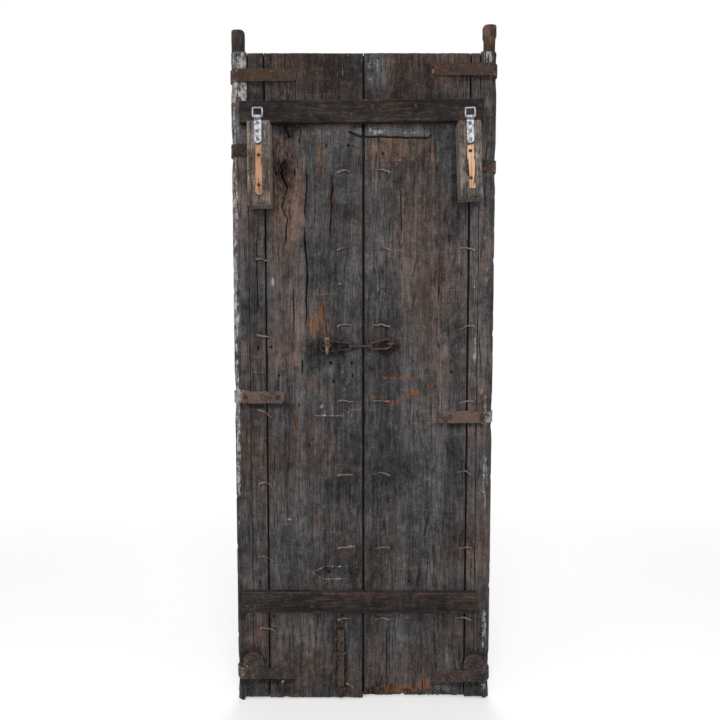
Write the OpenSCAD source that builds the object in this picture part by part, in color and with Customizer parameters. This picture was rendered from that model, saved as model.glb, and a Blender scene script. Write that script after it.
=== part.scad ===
// Old pair of plank shutters with pivot posts, now a wall panel held together by two battens.
// +Z is up and the face with the chain and bolt looks towards -Y.
// Face drawings use x across, y up and z out of that face.

/* [Leaves] */
// Width over both pivot posts
panel_w = 648; // [600:1:720]
// Height of the board tops above the lowest foot
leaf_h = 1629; // [1500:1:1800]
// Thickness of the boards and the posts
leaf_t = 34; // [30:1:40]
// Width of a pivot post
post_w = 40; // [36:1:48]
// Width of the narrow board beside the left post
left_narrow_w = 40; // [36:1:46]
// Width of the narrow board beside the right post
right_narrow_w = 23; // [21:1:24]
// Open joint between the narrow and the wide board
seam_gap = 3; // [1:0.5:5]
// Open joint between the two leaves
meeting_gap = 3.4; // [2:0.2:5]
// Width of the rebate behind the meeting joint
rebate_w = 12; // [8:1:18]
// Clearance inside the rebate
rebate_gap = 1.5; // [0.5:0.1:3]
// Height of the board ends above the lowest foot
board_foot = 10; // [6:1:16]
// Opening of the joint beside the post at the top
top_split_w = 4; // [1:0.5:8]
// Height over which the top joint has opened
top_split_h = 120; // [60:1:200]

/* [Pivots] */
// Diameter of the left top pin
left_pin_d = 33; // [24:1:33]
// Diameter of the right top pin
right_pin_d = 29; // [24:1:31]
// Diameter of the right pin's swollen head
right_pin_head_d = 34; // [32:1:36]
// Height of the right pin's swollen head
right_pin_head_h = 32; // [24:1:36]
// Length of the left top pin
left_pin_len = 50; // [30:1:80]
// Length of the right top pin
right_pin_len = 62; // [30:1:80]
// Height of a post's shoulder above the boards
shoulder_rise = 5; // [1:1:12]
// Height of the slanting foot of a post
foot_h = 56; // [40:1:80]
// Width of a worn foot tip
foot_tip_w = 16; // [12:1:24]
// Open joint beside the slanting foot
foot_gap = 2; // [1:0.5:4]
// Height by which the right foot has worn shorter
right_foot_wear = 6; // [1:1:9]

/* [Iron straps] */
// Height of a strap
strap_h = 30; // [22:1:38]
// Thickness of a strap
strap_t = 3; // [2:0.5:5]
// Room between a strap and the wood
strap_fit = 0.2; // [0.1:0.05:0.4]
// Cut corners at the free end of a strap
strap_clip = 6; // [2:1:9]
// Height of the left top strap below the board tops
left_top_strap_drop = 54; // [40:1:60]
// Height of the left second strap below the board tops
left_second_strap_drop = 232; // [220:1:300]
// Height of the left middle strap above the fourth ledge's middle
left_middle_strap_rise = 10; // [4:0.5:16]
// Height of the left bottom strap
left_bottom_strap_z = 73; // [65:1:90]
// Height of the right top strap below the board tops
right_top_strap_drop = 40; // [30:1:60]
// Height of the right second strap below the board tops
right_second_strap_drop = 270; // [240:1:300]
// Distance of the right middle strap below the fourth ledge's middle
right_middle_strap_drop = 40; // [34:0.5:60]
// Height of the right bottom strap
right_bottom_strap_z = 68; // [62:1:80]
// Length of the left top strap on the face
left_top_strap_len = 160; // [110:1:200]
// Length of the left middle strap on the face
left_middle_strap_len = 125; // [100:1:200]
// Length of the left bottom strap on the face
left_bottom_strap_len = 145; // [110:1:200]
// Length of the right top strap on the face
right_top_strap_len = 154; // [110:1:200]
// Length of the right middle strap on the face
right_middle_strap_len = 138; // [100:1:200]
// Length of the right bottom strap on the face
right_bottom_strap_len = 136; // [110:1:200]
// Length of a second strap, which ends under its block
second_strap_len = 84; // [70:1:94]
// Drop of the right bottom strap towards its free end
right_bottom_strap_drop = 6; // [0:1:12]
// Distance of a strap's inner nail from the panel's edge
strap_nail_inset = 108; // [92:1:112]
// Distance of a strap's outer nail from the panel's edge
strap_post_nail_inset = 27; // [20:1:30]
// Height of a corner plate above its bottom strap
corner_plate_h = 40; // [30:1:60]
// Width of a corner plate
corner_plate_w = 52; // [40:1:60]
// Thickness of a corner plate
corner_plate_t = 2; // [1:0.5:4]

/* [Ledges and nails] */
// Number of ledges on each leaf
ledge_rows = 7; // [5:1:8]
// Height of the lowest row
ledge_first_z = 216; // [212:1:222]
// Distance of the top row below the board tops
ledge_last_drop = 286; // [270:1:320]
// Height of a ledge
ledge_h = 66; // [60:1:80]
// Thickness of a ledge
ledge_t = 20; // [14:1:30]
// Distance of a ledge's inner end from the middle
ledge_inner = 20; // [18:1:30]
// Room between a ledge and the post
ledge_post_gap = 4; // [2:1:8]
// Diameter of a nail
nail_d = 4; // [3:0.2:5]
// Room round a nail
nail_fit = 0.1; // [0.05:0.05:0.2]
// Diameter of a nail head
nail_head_d = 13; // [9:1:16]
// Height of a nail head
nail_head_h = 2.6; // [1.5:0.1:4]
// Length of a bent-over nail tip
nail_tip_len = 42; // [30:1:46]
// Diameter at the end of a nail tip
nail_tip_d = 1.6; // [1:0.1:2.4]
// Distance of the inner nail column from the meeting joint
inner_nail_x = 62; // [56:1:90]
// Drop of the left outer nails below the ledge's middle
left_nail_drop = 22; // [20:1:24]
// Distance of the bent spike from the meeting joint
spike_x = 42; // [36:1:46]
// Height of the bent spike
spike_z = 48; // [44:1:52]
// Depth of a strap or batten nail in the wood
nail_depth = 24; // [14:1:27]

/* [Battens] */
// Height of a batten
batten_h = 53; // [40:1:60]
// Thickness of a batten
batten_t = 17; // [12:1:24]
// Mean distance of a batten's ends from the panel's edges
batten_inset = 28; // [24:1:34]
// Distance of a batten's outer nails from its ends
batten_end_nail = 10; // [8:1:14]
// Middle of the upper batten below the board tops
upper_batten_drop = 143; // [135:1:155]
// Middle of the lower batten
lower_batten_z = 266; // [262:1:290]
// Shift of the upper batten across the panel
upper_batten_shift = -5; // [-8:1:2]
// Shift of the lower batten across the panel
lower_batten_shift = -8; // [-10:1:2]
// Slope of the upper batten
upper_batten_tilt = 0.6; // [-1:0.1:1]
// Slope of the lower batten
lower_batten_tilt = -0.3; // [-1:0.1:1]

/* [Hanging blocks] */
// Width of a block
block_w = 53; // [46:1:60]
// Thickness of a block
block_t = 48; // [36:1:60]
// Length of the left block
left_block_len = 198; // [190:1:240]
// Length of the right block
right_block_len = 182; // [176:1:220]
// Distance of a block's middle from the panel's edge
block_inset = 74; // [72:1:80]
// Room between a block and the upper batten
block_gap = 6; // [4:1:12]
// Lean of the right block
right_block_tilt = 2.2; // [0:0.1:3]
// Width of the chiselled groove
groove_w = 16; // [10:1:20]
// Depth of the chiselled groove
groove_depth = 5; // [3:0.5:8]
// Height of the wood left below the groove
groove_foot = 24; // [16:1:40]
// Room between a block and the strap under it
housing_gap = 0.5; // [0.3:0.1:1]

/* [Hangers] */
// Width of a hanger strap
hanger_w = 16.4; // [12:0.2:17]
// Thickness of a hanger strap
hanger_t = 2.4; // [1.6:0.2:3]
// Length of a hanger strap below the block's top
hanger_len = 54; // [50:1:70]
// Outside width of a hanger ring
ring_w = 26.4; // [26:0.2:32]
// Outside height of a hanger ring
ring_h = 24.4; // [20:0.2:30]
// Wire diameter of a hanger ring
ring_wire_d = 4; // [3:0.2:4.4]
// Corner radius of a hanger ring
ring_corner_r = 3; // [2.4:0.1:3]
// Running clearance of a ring in its eye
ring_gap = 0.4; // [0.3:0.05:0.6]
// Diameter of a screw head
screw_head_d = 8.4; // [6:0.2:9]
// Height of a screw head
screw_head_h = 1.8; // [1.2:0.1:2.4]
// Depth of a screw in the wood
screw_depth = 22; // [16:1:26]

/* [Chain lock] */
// Distance of the chain's line below the fifth ledge's middle
chain_drop = 49; // [44:1:56]
// Distance of the lock staple from the middle
lock_x = 90; // [80:1:100]
// Height of the lock staple above the chain's line
lock_rise = 2; // [0:1:3]
// Rod diameter of the links
link_d = 5.2; // [4:0.2:6]
// Rod diameter of the chain's staples
staple_d = 5; // [4:0.2:6]
// Distance of the links' middle from the face
link_out = 9.6; // [9:0.2:12]
// Running clearance between links
chain_gap = 0.7; // [0.5:0.1:1]
// Length of the hasp link
hasp_len = 82; // [76:1:90]
// Height of the hasp link's wide end
hasp_h = 33; // [30:1:38]
// Height of a narrow link end
link_end_h = 20; // [17:1:23]
// Length of the middle link
middle_link_len = 62; // [56:1:70]
// Length of the end link
end_link_len = 58; // [54:1:66]
// Height of the end link's wide end
end_link_h = 29; // [26:1:34]
// Rise of the end link towards its staple
end_link_tilt = 10; // [0:1:16]
// Free play of the hasp round the lock staple
hasp_slack = 3.4; // [3:0.2:6]
// Diameter of the peg's head
peg_head_d = 15.4; // [14:0.2:17]
// Diameter of the peg in the staple
peg_d = 11.6; // [10:0.2:12.6]
// Diameter of the peg's tip
peg_tip_d = 6; // [4:0.2:8]
// Length of the peg above the staple's middle
peg_up = 20; // [15:1:26]
// Length of the peg below the staple's middle
peg_down = 23; // [16:1:30]
// Running clearance of the peg
peg_gap = 0.4; // [0.3:0.05:0.6]
// Room for the hasp behind the peg's head
hasp_room = 1.6; // [1.4:0.1:3]
// Depth of a staple's prongs in the wood
prong_depth = 24; // [16:1:27]

/* [Drop bolt] */
// Distance of the bolt's middle from the middle joint
bolt_x = 58; // [52:1:62]
// Width of the bolt
bolt_w = 16; // [12:0.5:20]
// Thickness of the bolt
bolt_t = 8; // [6:0.5:12]
// Height of the bolt's top
bolt_top = 190; // [176:1:195]
// Height of the bolt's foot
bolt_foot = 12; // [6:1:16]
// Running clearance round the bolt
bolt_gap = 0.5; // [0.4:0.1:1]
// Height of the upper bolt staple
upper_staple_z = 132; // [110:1:138]
// Height of the lower bolt staple
lower_staple_z = 36; // [34:1:60]
// Rod diameter of the upper bolt staple
upper_staple_d = 6.4; // [5:0.2:7]
// Rod diameter of the lower bolt staple
lower_staple_d = 4.6; // [4:0.2:6]

/* [Wear] */
// Width of the long split in the left wide board
split_w = 5; // [2:0.5:8]
// Depth of the splits
split_depth = 14; // [6:1:20]
// Depth of the scar under the upper batten
scar_depth = 3; // [1:0.5:5]
// Height of the scar under the upper batten
scar_h = 23; // [16:1:28]
// Depth of the broken foot of the right wide board
broken_foot_depth = 11; // [6:1:14]
// Height of the broken foot of the right wide board
broken_foot_h = 34; // [24:1:44]
// Gap under the lip of the meeting joint
lip_foot_rise = 14; // [8:1:30]

/* [Hidden] */
$fn = 48;
side_name = ["left", "right"];
side_sign = [-1, 1];

// Places across the panel, drawn on the right side
edge_x = panel_w / 2;
post_r = leaf_t / 2;
post_mid_x = edge_x - post_r;
post_in_x = edge_x - post_w;
narrow_w = [left_narrow_w, right_narrow_w];
narrow_in_x = [for (w = narrow_w) post_in_x - w];
wide_out_x = [for (x = narrow_in_x) x - seam_gap];
wide_in_x = meeting_gap / 2;
wide_w = [for (x = wide_out_x) x - wide_in_x];
post_top = leaf_h + shoulder_rise;
foot_rise = [0, right_foot_wear];
rebate_depth = leaf_t / 2;

elbow_swell = 1.12;
nail_bore_d = nail_d + 2 * nail_fit;
ledge_pitch = (leaf_h - ledge_last_drop - ledge_first_z) / (ledge_rows - 1);
ledge_chamfer = ledge_t / 5;
middle_row = 4;
chain_row = 5;
outer_nail_x = [for (w = narrow_w) post_in_x - w / 2];
outer_nail_drop = [left_nail_drop, 0];
tack_head_d = nail_head_d * 0.7;
tack_head_h = nail_head_h * 0.6;

upper_batten_z = leaf_h - upper_batten_drop;
batten_len = panel_w - 2 * batten_inset;
batten_at = [[upper_batten_shift, upper_batten_z], [lower_batten_shift, lower_batten_z]];
batten_tilt = [upper_batten_tilt, lower_batten_tilt];
batten_nail_x = [for (x = wide_out_x) [batten_len / 2 - batten_end_nail, (x + wide_in_x) / 2,
                                       wide_in_x + 2 * rebate_w]];

block_x = edge_x - block_inset;
block_top_z = upper_batten_z - batten_h / 2 - block_gap;
block_tilt = [0, right_block_tilt];
block_len = [left_block_len, right_block_len];
groove_step = groove_w / 6;
groove_top = hanger_len + 2;
block_screw_lead = [1.5 * groove_w, 0.9 * groove_w];
screw_d = nail_d;
eye_in_r = ring_wire_d / 2 + ring_gap;
eye_out_r = eye_in_r + hanger_t;
eye_rise = eye_out_r + ring_gap;
eye_out = block_t + eye_out_r;
hanger_screw_drop = [screw_head_d, hanger_len / 2, hanger_len - hanger_w / 2];

chain_z = ledge_z(chain_row) - chain_drop;
link_r = link_d / 2;
staple_r = staple_d / 2;
knuckle_d = link_d * 1.08;
knuckle_trim = link_d / 30;
hasp_big_r = hasp_h / 2 - link_r;
link_small_r = link_end_h / 2 - link_r;
end_big_r = end_link_h / 2 - link_r;
middle_r = link_d + chain_gap;
lock_eye_r = peg_d / 2 + peg_gap + staple_r;
chain_eye_r = link_r + chain_gap + staple_r;
lock_z = chain_z + lock_rise;
peg_out = link_out + link_r + hasp_room + peg_head_d / 2;
hasp_x = -lock_x - lock_eye_r - staple_r - hasp_slack + hasp_big_r - link_r;
hasp_reach = hasp_len - hasp_h / 2 - link_end_h / 2;
joint_a_x = hasp_x + hasp_reach + link_small_r;
middle_reach = middle_link_len - 2 * (middle_r + link_r);
joint_b_x = joint_a_x + middle_reach;
end_reach = end_link_len - end_link_h / 2 - link_end_h / 2;
end_big_x = joint_b_x + link_small_r + end_reach * cos(end_link_tilt);
chain_staple_x = end_big_x + end_big_r;
chain_staple_z = chain_z + end_reach * sin(end_link_tilt);

// Depth of the part, centred on the origin
front_reach = block_t + 2 * eye_out_r;
rear_reach = leaf_t + ledge_t + nail_fit + nail_head_h;
face_y = (front_reach - rear_reach) / 2;

// Straps from the top down, for the left and the right side
strap_keys = ["top", "second", "middle", "bottom"];
second = 1;
bottom = 3;
strap_z = [
    [leaf_h - left_top_strap_drop, leaf_h - left_second_strap_drop,
     ledge_z(middle_row) + left_middle_strap_rise, left_bottom_strap_z],
    [leaf_h - right_top_strap_drop, leaf_h - right_second_strap_drop,
     ledge_z(middle_row) - right_middle_strap_drop, right_bottom_strap_z]
];
strap_len = [
    [left_top_strap_len, second_strap_len, left_middle_strap_len, left_bottom_strap_len],
    [right_top_strap_len, second_strap_len, right_middle_strap_len, right_bottom_strap_len]
];
strap_drop = [[0, 0, 0, 0], [0, 0, 0, right_bottom_strap_drop]];

// Ragged board ends, as [share of the width from the middle, share of the foot's height]
foot_lines = [
    [[0, 0.3], [0.12, 0.1], [0.34, -0.4], [0.62, -0.2], [0.86, 0.1], [1, 0]],
    [[0, 0.2], [0.1, 0], [0.3, -0.1], [0.5, 0.4], [0.58, 0.7], [0.8, 0.5], [1, 0.3]]
];
// Broken face at the foot of the right wide board, as shares of its width and of the break's height
broken_foot = [[0, 0.65], [0.156, 1], [0.375, 0.7], [0.624, 0.18]];
// Splits in the left wide board: two ends, as shares of its width and height, and share of split_w
splits = [
    [[0.582, 0.17], [0.59, 0.417], 1],
    [[0.895, 0.123], [0.795, 0.276], 1.4],
    [[0.695, 0.306], [0.687, 0.414], 0.6],
    [[0.31, 0.174], [0.344, 0.276], 0.6]
];
// Scars of the wide boards: start, as shares of width and height, and length as a share of the width
scars = [[0.043, 0.115, 0.49], [0.025, 0.116, 0.585]];
// Slant of the bent-over nail tips, row by row
tip_slant = [6, 14, 3, 10, 4, 12, 5, 8];
// Bent spike near the foot of the left wide board
spike_at = [spike_x, spike_z];
spike_angle = -45;
spike_d = nail_d * 1.4;

function strap_name(s, k) = str(side_name[s], "_", strap_keys[k], "_strap");
function ledge_name(s, k) = str(side_name[s], "_ledge_", k);

// Places a drawing of the face: x across, y up, z out of the face
module on_face() {
    translate([0, face_y, 0]) rotate([90, 0, 0]) children();
}

// Places a plan drawing: x across, y into the wood, z up
module in_plan() {
    translate([0, face_y, 0]) children();
}

// Turns a drawing of the right side into side s
module on_side(s) {
    if (s == 0) mirror([1, 0, 0]) children();
    else children();
}

// A drawing of the face given thickness between two distances from it
module plate(from, to) {
    translate([0, 0, from]) linear_extrude(to - from) children();
}

// A nail or screw with a domed head, its shank pointing into the wood
module domed_nail(head_d, head_h, shank_d, shank_len) {
    dome_r = (head_d * head_d / 4 + head_h * head_h) / (2 * head_h);
    intersection() {
        translate([0, 0, head_h - dome_r]) sphere(dome_r);
        cylinder(d = head_d, h = head_h);
    }
    translate([0, 0, -shank_len]) cylinder(d = shank_d, h = shank_len + head_h / 4);
}

module nail_bore(p, depth, above) {
    translate([p[0], p[1], -depth]) cylinder(d = nail_bore_d, h = depth + above);
}

// Strap nails, drawn on the right side
function strap_nail_points(s, k) = [
    [edge_x - strap_post_nail_inset, strap_z[s][k]],
    if (k != second) [edge_x - strap_nail_inset,
                      strap_z[s][k] - strap_drop[s][k] * strap_nail_inset / strap_len[s][k]]
];

function corner_plate_points(s) = [
    [post_in_x - corner_plate_w / 12, corner_plate_z(s) + corner_plate_h * 0.66],
    [post_in_x + corner_plate_w / 5, corner_plate_z(s) + corner_plate_h * 0.3]
];
function corner_plate_z(s) = strap_z[s][bottom] + strap_h / 2 + strap_fit;

module strap_nail_bores(s) {
    above = strap_t + nail_d;
    on_side(s) on_face() {
        for (k = [0 : 3]) for (p = strap_nail_points(s, k)) nail_bore(p, nail_depth, above);
        for (p = corner_plate_points(s)) nail_bore(p, nail_depth, above);
    }
}

// Ledge nails, drawn on the right side
function ledge_z(k) = ledge_first_z + (k - 1) * ledge_pitch;
function clear_of_block(s, k) = ledge_z(k) + nail_tip_len / 2 < block_top_z - block_len[s];
function ledge_nail_points(s, k) = [
    [wide_in_x + inner_nail_x, ledge_z(k)],
    if (clear_of_block(s, k)) [outer_nail_x[s], ledge_z(k) - outer_nail_drop[s]]
];

module ledge_nail_bores(s) {
    on_side(s) on_face() for (k = [1 : ledge_rows]) for (p = ledge_nail_points(s, k))
        nail_bore(p, leaf_t + ledge_t + 1, 1);
}

// Battens and their nails, drawn as they lie
module batten_frame(b) {
    on_face() translate(batten_at[b]) rotate(batten_tilt[b]) children();
}

module batten_nail_places() {
    for (b = [0, 1]) batten_frame(b) for (s = [0, 1]) for (x = batten_nail_x[s])
        translate([side_sign[s] * x, side_sign[s] * batten_h / 6, batten_t]) children();
}

module batten_nail_bores() {
    batten_nail_places() nail_bore([0, 0], batten_t + nail_depth, 1);
}

module batten(b) {
    color("#463a30") difference() {
        batten_frame(b) plate(0, batten_t) square([batten_len, batten_h], center = true);
        batten_nail_bores();
    }
}

module batten_nails() {
    color("#6a5140") batten_nail_places() translate([0, 0, nail_fit])
        domed_nail(tack_head_d, tack_head_h, nail_d, batten_t + nail_depth - 1);
}

// Pivot post
module post_section() {
    translate([post_mid_x, post_r]) circle(r = post_r);
    translate([post_in_x, 0]) square([post_mid_x - post_in_x, leaf_t]);
}

function foot_line_x(s, z) =
    post_in_x + (post_w - foot_tip_w) * (1 - (z - foot_rise[s]) / foot_h);

module post_foot_cut(s) {
    low = foot_rise[s] - 1;
    high = foot_rise[s] + foot_h + 1;
    polygon([[foot_line_x(s, low), low], [foot_line_x(s, high), high],
             [post_in_x - post_w, high], [post_in_x - post_w, low]]);
}

// Half outline of a top pin, from the post's shoulder up
module left_pin_profile() {
    soft = left_pin_d / 10;
    polygon([[0, -1], [left_pin_d / 2, -1], [left_pin_d / 2, left_pin_len - soft],
             [left_pin_d / 2 - soft, left_pin_len], [0, left_pin_len]]);
}

module right_pin_profile() {
    neck = right_pin_len - right_pin_head_h;
    soft = right_pin_head_d / 12;
    polygon([[0, -1], [right_pin_d / 2, -1], [right_pin_d / 2, neck],
             [right_pin_head_d / 2, neck + right_pin_head_h / 6],
             [right_pin_head_d / 2, right_pin_len - soft],
             [right_pin_head_d / 2 - soft, right_pin_len], [0, right_pin_len]]);
}

module pivot_post(s) {
    color("#4a423b") difference() {
        on_side(s) difference() {
            in_plan() {
                translate([0, 0, foot_rise[s]])
                    linear_extrude(post_top - foot_rise[s]) post_section();
                translate([post_mid_x, post_r, post_top]) rotate_extrude() {
                    if (s == 0) left_pin_profile();
                    else right_pin_profile();
                }
            }
            on_face() plate(-leaf_t - 1, 1) post_foot_cut(s);
        }
        strap_nail_bores(s);
        batten_nail_bores();
    }
}

// Bores for every nail and screw that enters the boards of a leaf
module leaf_bores(s) {
    strap_nail_bores(s);
    ledge_nail_bores(s);
    batten_nail_bores();
    block_screw_bores(s);
}

// Narrow board beside the post
module narrow_outline(s) {
    foot_top = foot_rise[s] + foot_h;
    polygon([
        [narrow_in_x[s], board_foot],
        [foot_line_x(s, board_foot) - foot_gap, board_foot],
        [post_in_x - foot_gap, foot_top],
        [post_in_x, foot_top + foot_h],
        [post_in_x, leaf_h - top_split_h],
        [post_in_x - top_split_w, leaf_h],
        [narrow_in_x[s], leaf_h]
    ]);
}

module narrow_board(s) {
    color("#453d37") difference() {
        on_side(s) on_face() plate(-leaf_t, 0) narrow_outline(s);
        leaf_bores(s);
    }
}

// Wide board with its rebated meeting edge, ragged foot, splits and scars
module wide_outline(s) {
    polygon([
        for (p = foot_lines[s]) [wide_in_x + p[0] * wide_w[s], board_foot * (1 + p[1])],
        [wide_out_x[s], leaf_h], [wide_in_x, leaf_h]
    ]);
}

function on_board(s, p) = [wide_in_x + p[0] * wide_w[s], leaf_h * (1 - p[1])];

module split_cut(p) {
    from = on_board(0, p[0]);
    to = on_board(0, p[1]);
    along = to - from;
    across = [-along[1], along[0]] / norm(along) * p[2] * split_w / 2;
    middle = (from + to) / 2;
    plate(-split_depth, 1) polygon([from, middle + across, to, middle - across]);
}

module scar_cut(s) {
    length = scars[s][2] * wide_w[s];
    translate(on_board(s, scars[s])) plate(-scar_depth, 1)
        polygon([[0, 0], [length * 0.3, scar_h / 2], [length, scar_h * 0.2],
                 [length * 0.8, -scar_h / 2], [length * 0.2, -scar_h * 0.4]]);
}

module left_wide_board() {
    lip_foot = board_foot + lip_foot_rise;
    color("#3d3935") difference() {
        union() {
            on_side(0) on_face() plate(-leaf_t, 0) wide_outline(0);
            on_face() plate(-leaf_t, -rebate_depth - rebate_gap / 2)
                translate([-wide_in_x - 1, lip_foot])
                square([rebate_w + 1, leaf_h - lip_foot]);
        }
        leaf_bores(0);
        staple_bores(-lock_x, lock_z, lock_eye_r, staple_d);
        staple_bores(-bolt_x, upper_staple_z, bolt_staple_r(upper_staple_d), upper_staple_d);
        staple_bores(-bolt_x, lower_staple_z, bolt_staple_r(lower_staple_d), lower_staple_d);
        on_side(0) on_face() {
            for (p = splits) split_cut(p);
            scar_cut(0);
            translate([0, 0, -leaf_t - ledge_t]) translate(spike_at)
                cylinder(d = spike_d + 2 * nail_fit, h = leaf_t + ledge_t + 1);
        }
    }
}

module right_wide_board() {
    color("#37363a") difference() {
        on_face() plate(-leaf_t, 0) wide_outline(1);
        on_face() plate(-leaf_t - 1, -rebate_depth + rebate_gap / 2) translate([0, -1])
            square([wide_in_x + rebate_w, leaf_h + 2]);
        leaf_bores(1);
        staple_bores(chain_staple_x, chain_staple_z, chain_eye_r, staple_d);
        on_face() {
            scar_cut(1);
            translate([wide_in_x, board_foot, 0]) plate(-broken_foot_depth, 1)
                polygon([[-1, -board_foot],
                         for (p = broken_foot) [p[0] * wide_w[1], p[1] * broken_foot_h],
                         [wide_w[1], -board_foot]]);
        }
    }
}

// Iron strap that wraps the post, with a long leg on the face
module strap_section() {
    inner_r = post_r + strap_fit;
    outer_r = inner_r + strap_t;
    leg = post_mid_x - post_in_x - ledge_post_gap / 2;
    difference() {
        union() {
            translate([post_mid_x, post_r]) circle(r = outer_r);
            translate([post_mid_x - leg, post_r - outer_r]) square([leg, 2 * outer_r]);
        }
        translate([post_mid_x, post_r]) circle(r = inner_r);
        translate([post_mid_x - 2 * outer_r, post_r - inner_r])
            square([2 * outer_r, 2 * inner_r]);
    }
}

module strap_leg(length, drop) {
    half = strap_h / 2;
    end_x = edge_x - length;
    polygon([[post_mid_x, half], [end_x + strap_clip, half - drop],
             [end_x, half - strap_clip - drop], [end_x, strap_clip - half - drop],
             [end_x + strap_clip, -half - drop], [post_mid_x, -half]]);
}

module strap(s, k) {
    color("#4b3a30") difference() {
        on_side(s) {
            in_plan() translate([0, 0, strap_z[s][k] - strap_h / 2])
                linear_extrude(strap_h) strap_section();
            on_face() translate([0, strap_z[s][k], 0])
                plate(strap_fit, strap_fit + strap_t)
                strap_leg(strap_len[s][k], strap_drop[s][k]);
        }
        strap_nail_bores(s);
    }
}

module corner_plate(s) {
    arch_r = corner_plate_w / 2;
    color("#4a3c33") difference() {
        on_side(s) on_face()
            translate([post_mid_x + strap_t - corner_plate_w, corner_plate_z(s), 0])
            plate(strap_fit, strap_fit + corner_plate_t) intersection() {
                square([corner_plate_w, corner_plate_h]);
                union() {
                    translate([arch_r, corner_plate_h - arch_r]) circle(r = arch_r);
                    square([corner_plate_w, max(corner_plate_h - arch_r, strap_t)]);
                }
            }
        strap_nail_bores(s);
    }
}

module strap_nails(s) {
    color("#5a4132") on_side(s) on_face() {
        for (k = [0 : 3]) for (p = strap_nail_points(s, k))
            translate([p[0], p[1], strap_fit + strap_t + nail_fit])
                domed_nail(nail_head_d, nail_head_h, nail_d, nail_depth);
        for (p = corner_plate_points(s))
            translate([p[0], p[1], strap_fit + corner_plate_t + nail_fit])
                domed_nail(nail_head_d, nail_head_h, nail_d, nail_depth);
    }
}

// Hanging block: origin at the middle of its top edge, on the face
module block_frame(s) {
    on_face() translate([side_sign[s] * block_x, block_top_z, 0])
        rotate(block_tilt[s]) children();
}

function groove_end(s) = block_len[s] - groove_foot;
function block_screw_drops(s) = [groove_top + block_screw_lead[s],
                                groove_end(s) - 1.5 * groove_w];

module groove_outline(s) {
    length = groove_end(s) - groove_top;
    half = groove_w / 2;
    if (s == 0) {
        translate([-half, half - groove_end(s)]) square([groove_w, length - half]);
        translate([0, half - groove_end(s)]) circle(r = half);
    } else {
        translate([-half, -groove_top - length / 3]) square([groove_w, length / 3]);
        translate([groove_step - half, -groove_end(s)])
            square([groove_w, length * 2 / 3 + groove_step]);
    }
}

module hanging_block(s) {
    housing_h = strap_h + 2 * housing_gap;
    housing_x = edge_x - second_strap_len - housing_gap;
    color("#5d564d") difference() {
        block_frame(s) difference() {
            plate(0, block_t) translate([-block_w / 2, -block_len[s]])
                square([block_w, block_len[s]]);
            plate(block_t - groove_depth, block_t + 1) groove_outline(s);
            for (drop = hanger_screw_drop) translate([0, -drop, block_t - screw_depth])
                cylinder(d = nail_bore_d, h = screw_depth + 1);
        }
        block_screw_bores(s);
        on_side(s) on_face() plate(-1, strap_fit + strap_t + housing_gap)
            translate([housing_x, strap_z[s][second] - housing_h / 2])
            square([second_strap_len, housing_h]);
    }
}

module block_screw_bores(s) {
    depth = block_t - groove_depth;
    block_frame(s) for (drop = block_screw_drops(s)) translate([0, -drop, -screw_depth])
        cylinder(d = nail_bore_d, h = screw_depth + depth + 1);
}

module block_screws() {
    floor_out = block_t - groove_depth + nail_fit;
    color("#3a3532") for (s = [0, 1]) block_frame(s) for (drop = block_screw_drops(s))
        translate([0, -drop, floor_out])
            domed_nail(screw_head_d, screw_head_h, screw_d, floor_out + screw_depth - 1);
}

// Zinc hanger: a strap rolled round the lower bar of a square ring
module hanger_strap(s) {
    half = hanger_w / 2;
    color("#b9bcc0") block_frame(s) difference() {
        union() {
            plate(block_t, block_t + hanger_t) {
                translate([-half, half - hanger_len])
                    square([hanger_w, hanger_len - half + eye_rise]);
                translate([0, half - hanger_len]) circle(r = half);
            }
            translate([-half, eye_rise, eye_out]) rotate([0, 90, 0])
                cylinder(r = eye_out_r, h = hanger_w);
        }
        translate([-half - 1, eye_rise, eye_out]) rotate([0, 90, 0])
            cylinder(r = eye_in_r, h = hanger_w + 2);
        for (drop = hanger_screw_drop) translate([0, -drop, block_t - 1])
            cylinder(d = nail_bore_d, h = hanger_t + 2);
    }
}

module wire_bar(from, to, d) {
    along = to - from;
    translate([from[0], from[1], 0]) rotate(atan2(along[1], along[0]))
        rotate([0, 90, 0]) cylinder(d = d, h = norm(along));
}

module hanger_ring(s) {
    half = (ring_w - ring_wire_d) / 2;
    tall = ring_h - ring_wire_d;
    r = ring_corner_r;
    corners = [[half - r, tall - r, 0], [r - half, tall - r, 90],
               [r - half, r, 180], [half - r, r, 270]];
    color("#c6c9cc") block_frame(s) translate([0, eye_rise, eye_out]) {
        for (c = corners) translate([c[0], c[1], 0]) rotate(c[2])
            rotate_extrude(angle = 90) translate([r, 0]) circle(d = ring_wire_d);
        for (side = side_sign) {
            wire_bar([side * half, r], [side * half, tall - r], ring_wire_d);
        }
        wire_bar([r - half, 0], [half - r, 0], ring_wire_d);
        wire_bar([r - half, tall], [half - r, tall], ring_wire_d);
    }
}

module hanger_screws() {
    color("#8d9093") for (s = [0, 1]) block_frame(s) for (drop = hanger_screw_drop)
        translate([0, -drop, block_t + hanger_t + nail_fit])
            domed_nail(screw_head_d, screw_head_h, screw_d, hanger_t + screw_depth - 1);
}

// Staple with two prongs and a round eye that stands out of the face
module round_staple(x, z, eye_r, eye_centre, d) {
    on_face() translate([x, z, 0]) {
        for (side = side_sign) translate([side * eye_r, 0, -prong_depth])
            cylinder(d = d, h = prong_depth + eye_centre);
        translate([0, 0, eye_centre]) rotate([90, 0, 0])
            rotate_extrude(angle = 180) translate([eye_r, 0]) circle(d = d);
    }
}

module staple_bores(x, z, half, d) {
    on_face() for (side = side_sign) translate([x + side * half, z, -prong_depth - nail_fit])
        cylinder(d = d + 2 * nail_fit, h = prong_depth + 1);
}

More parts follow.
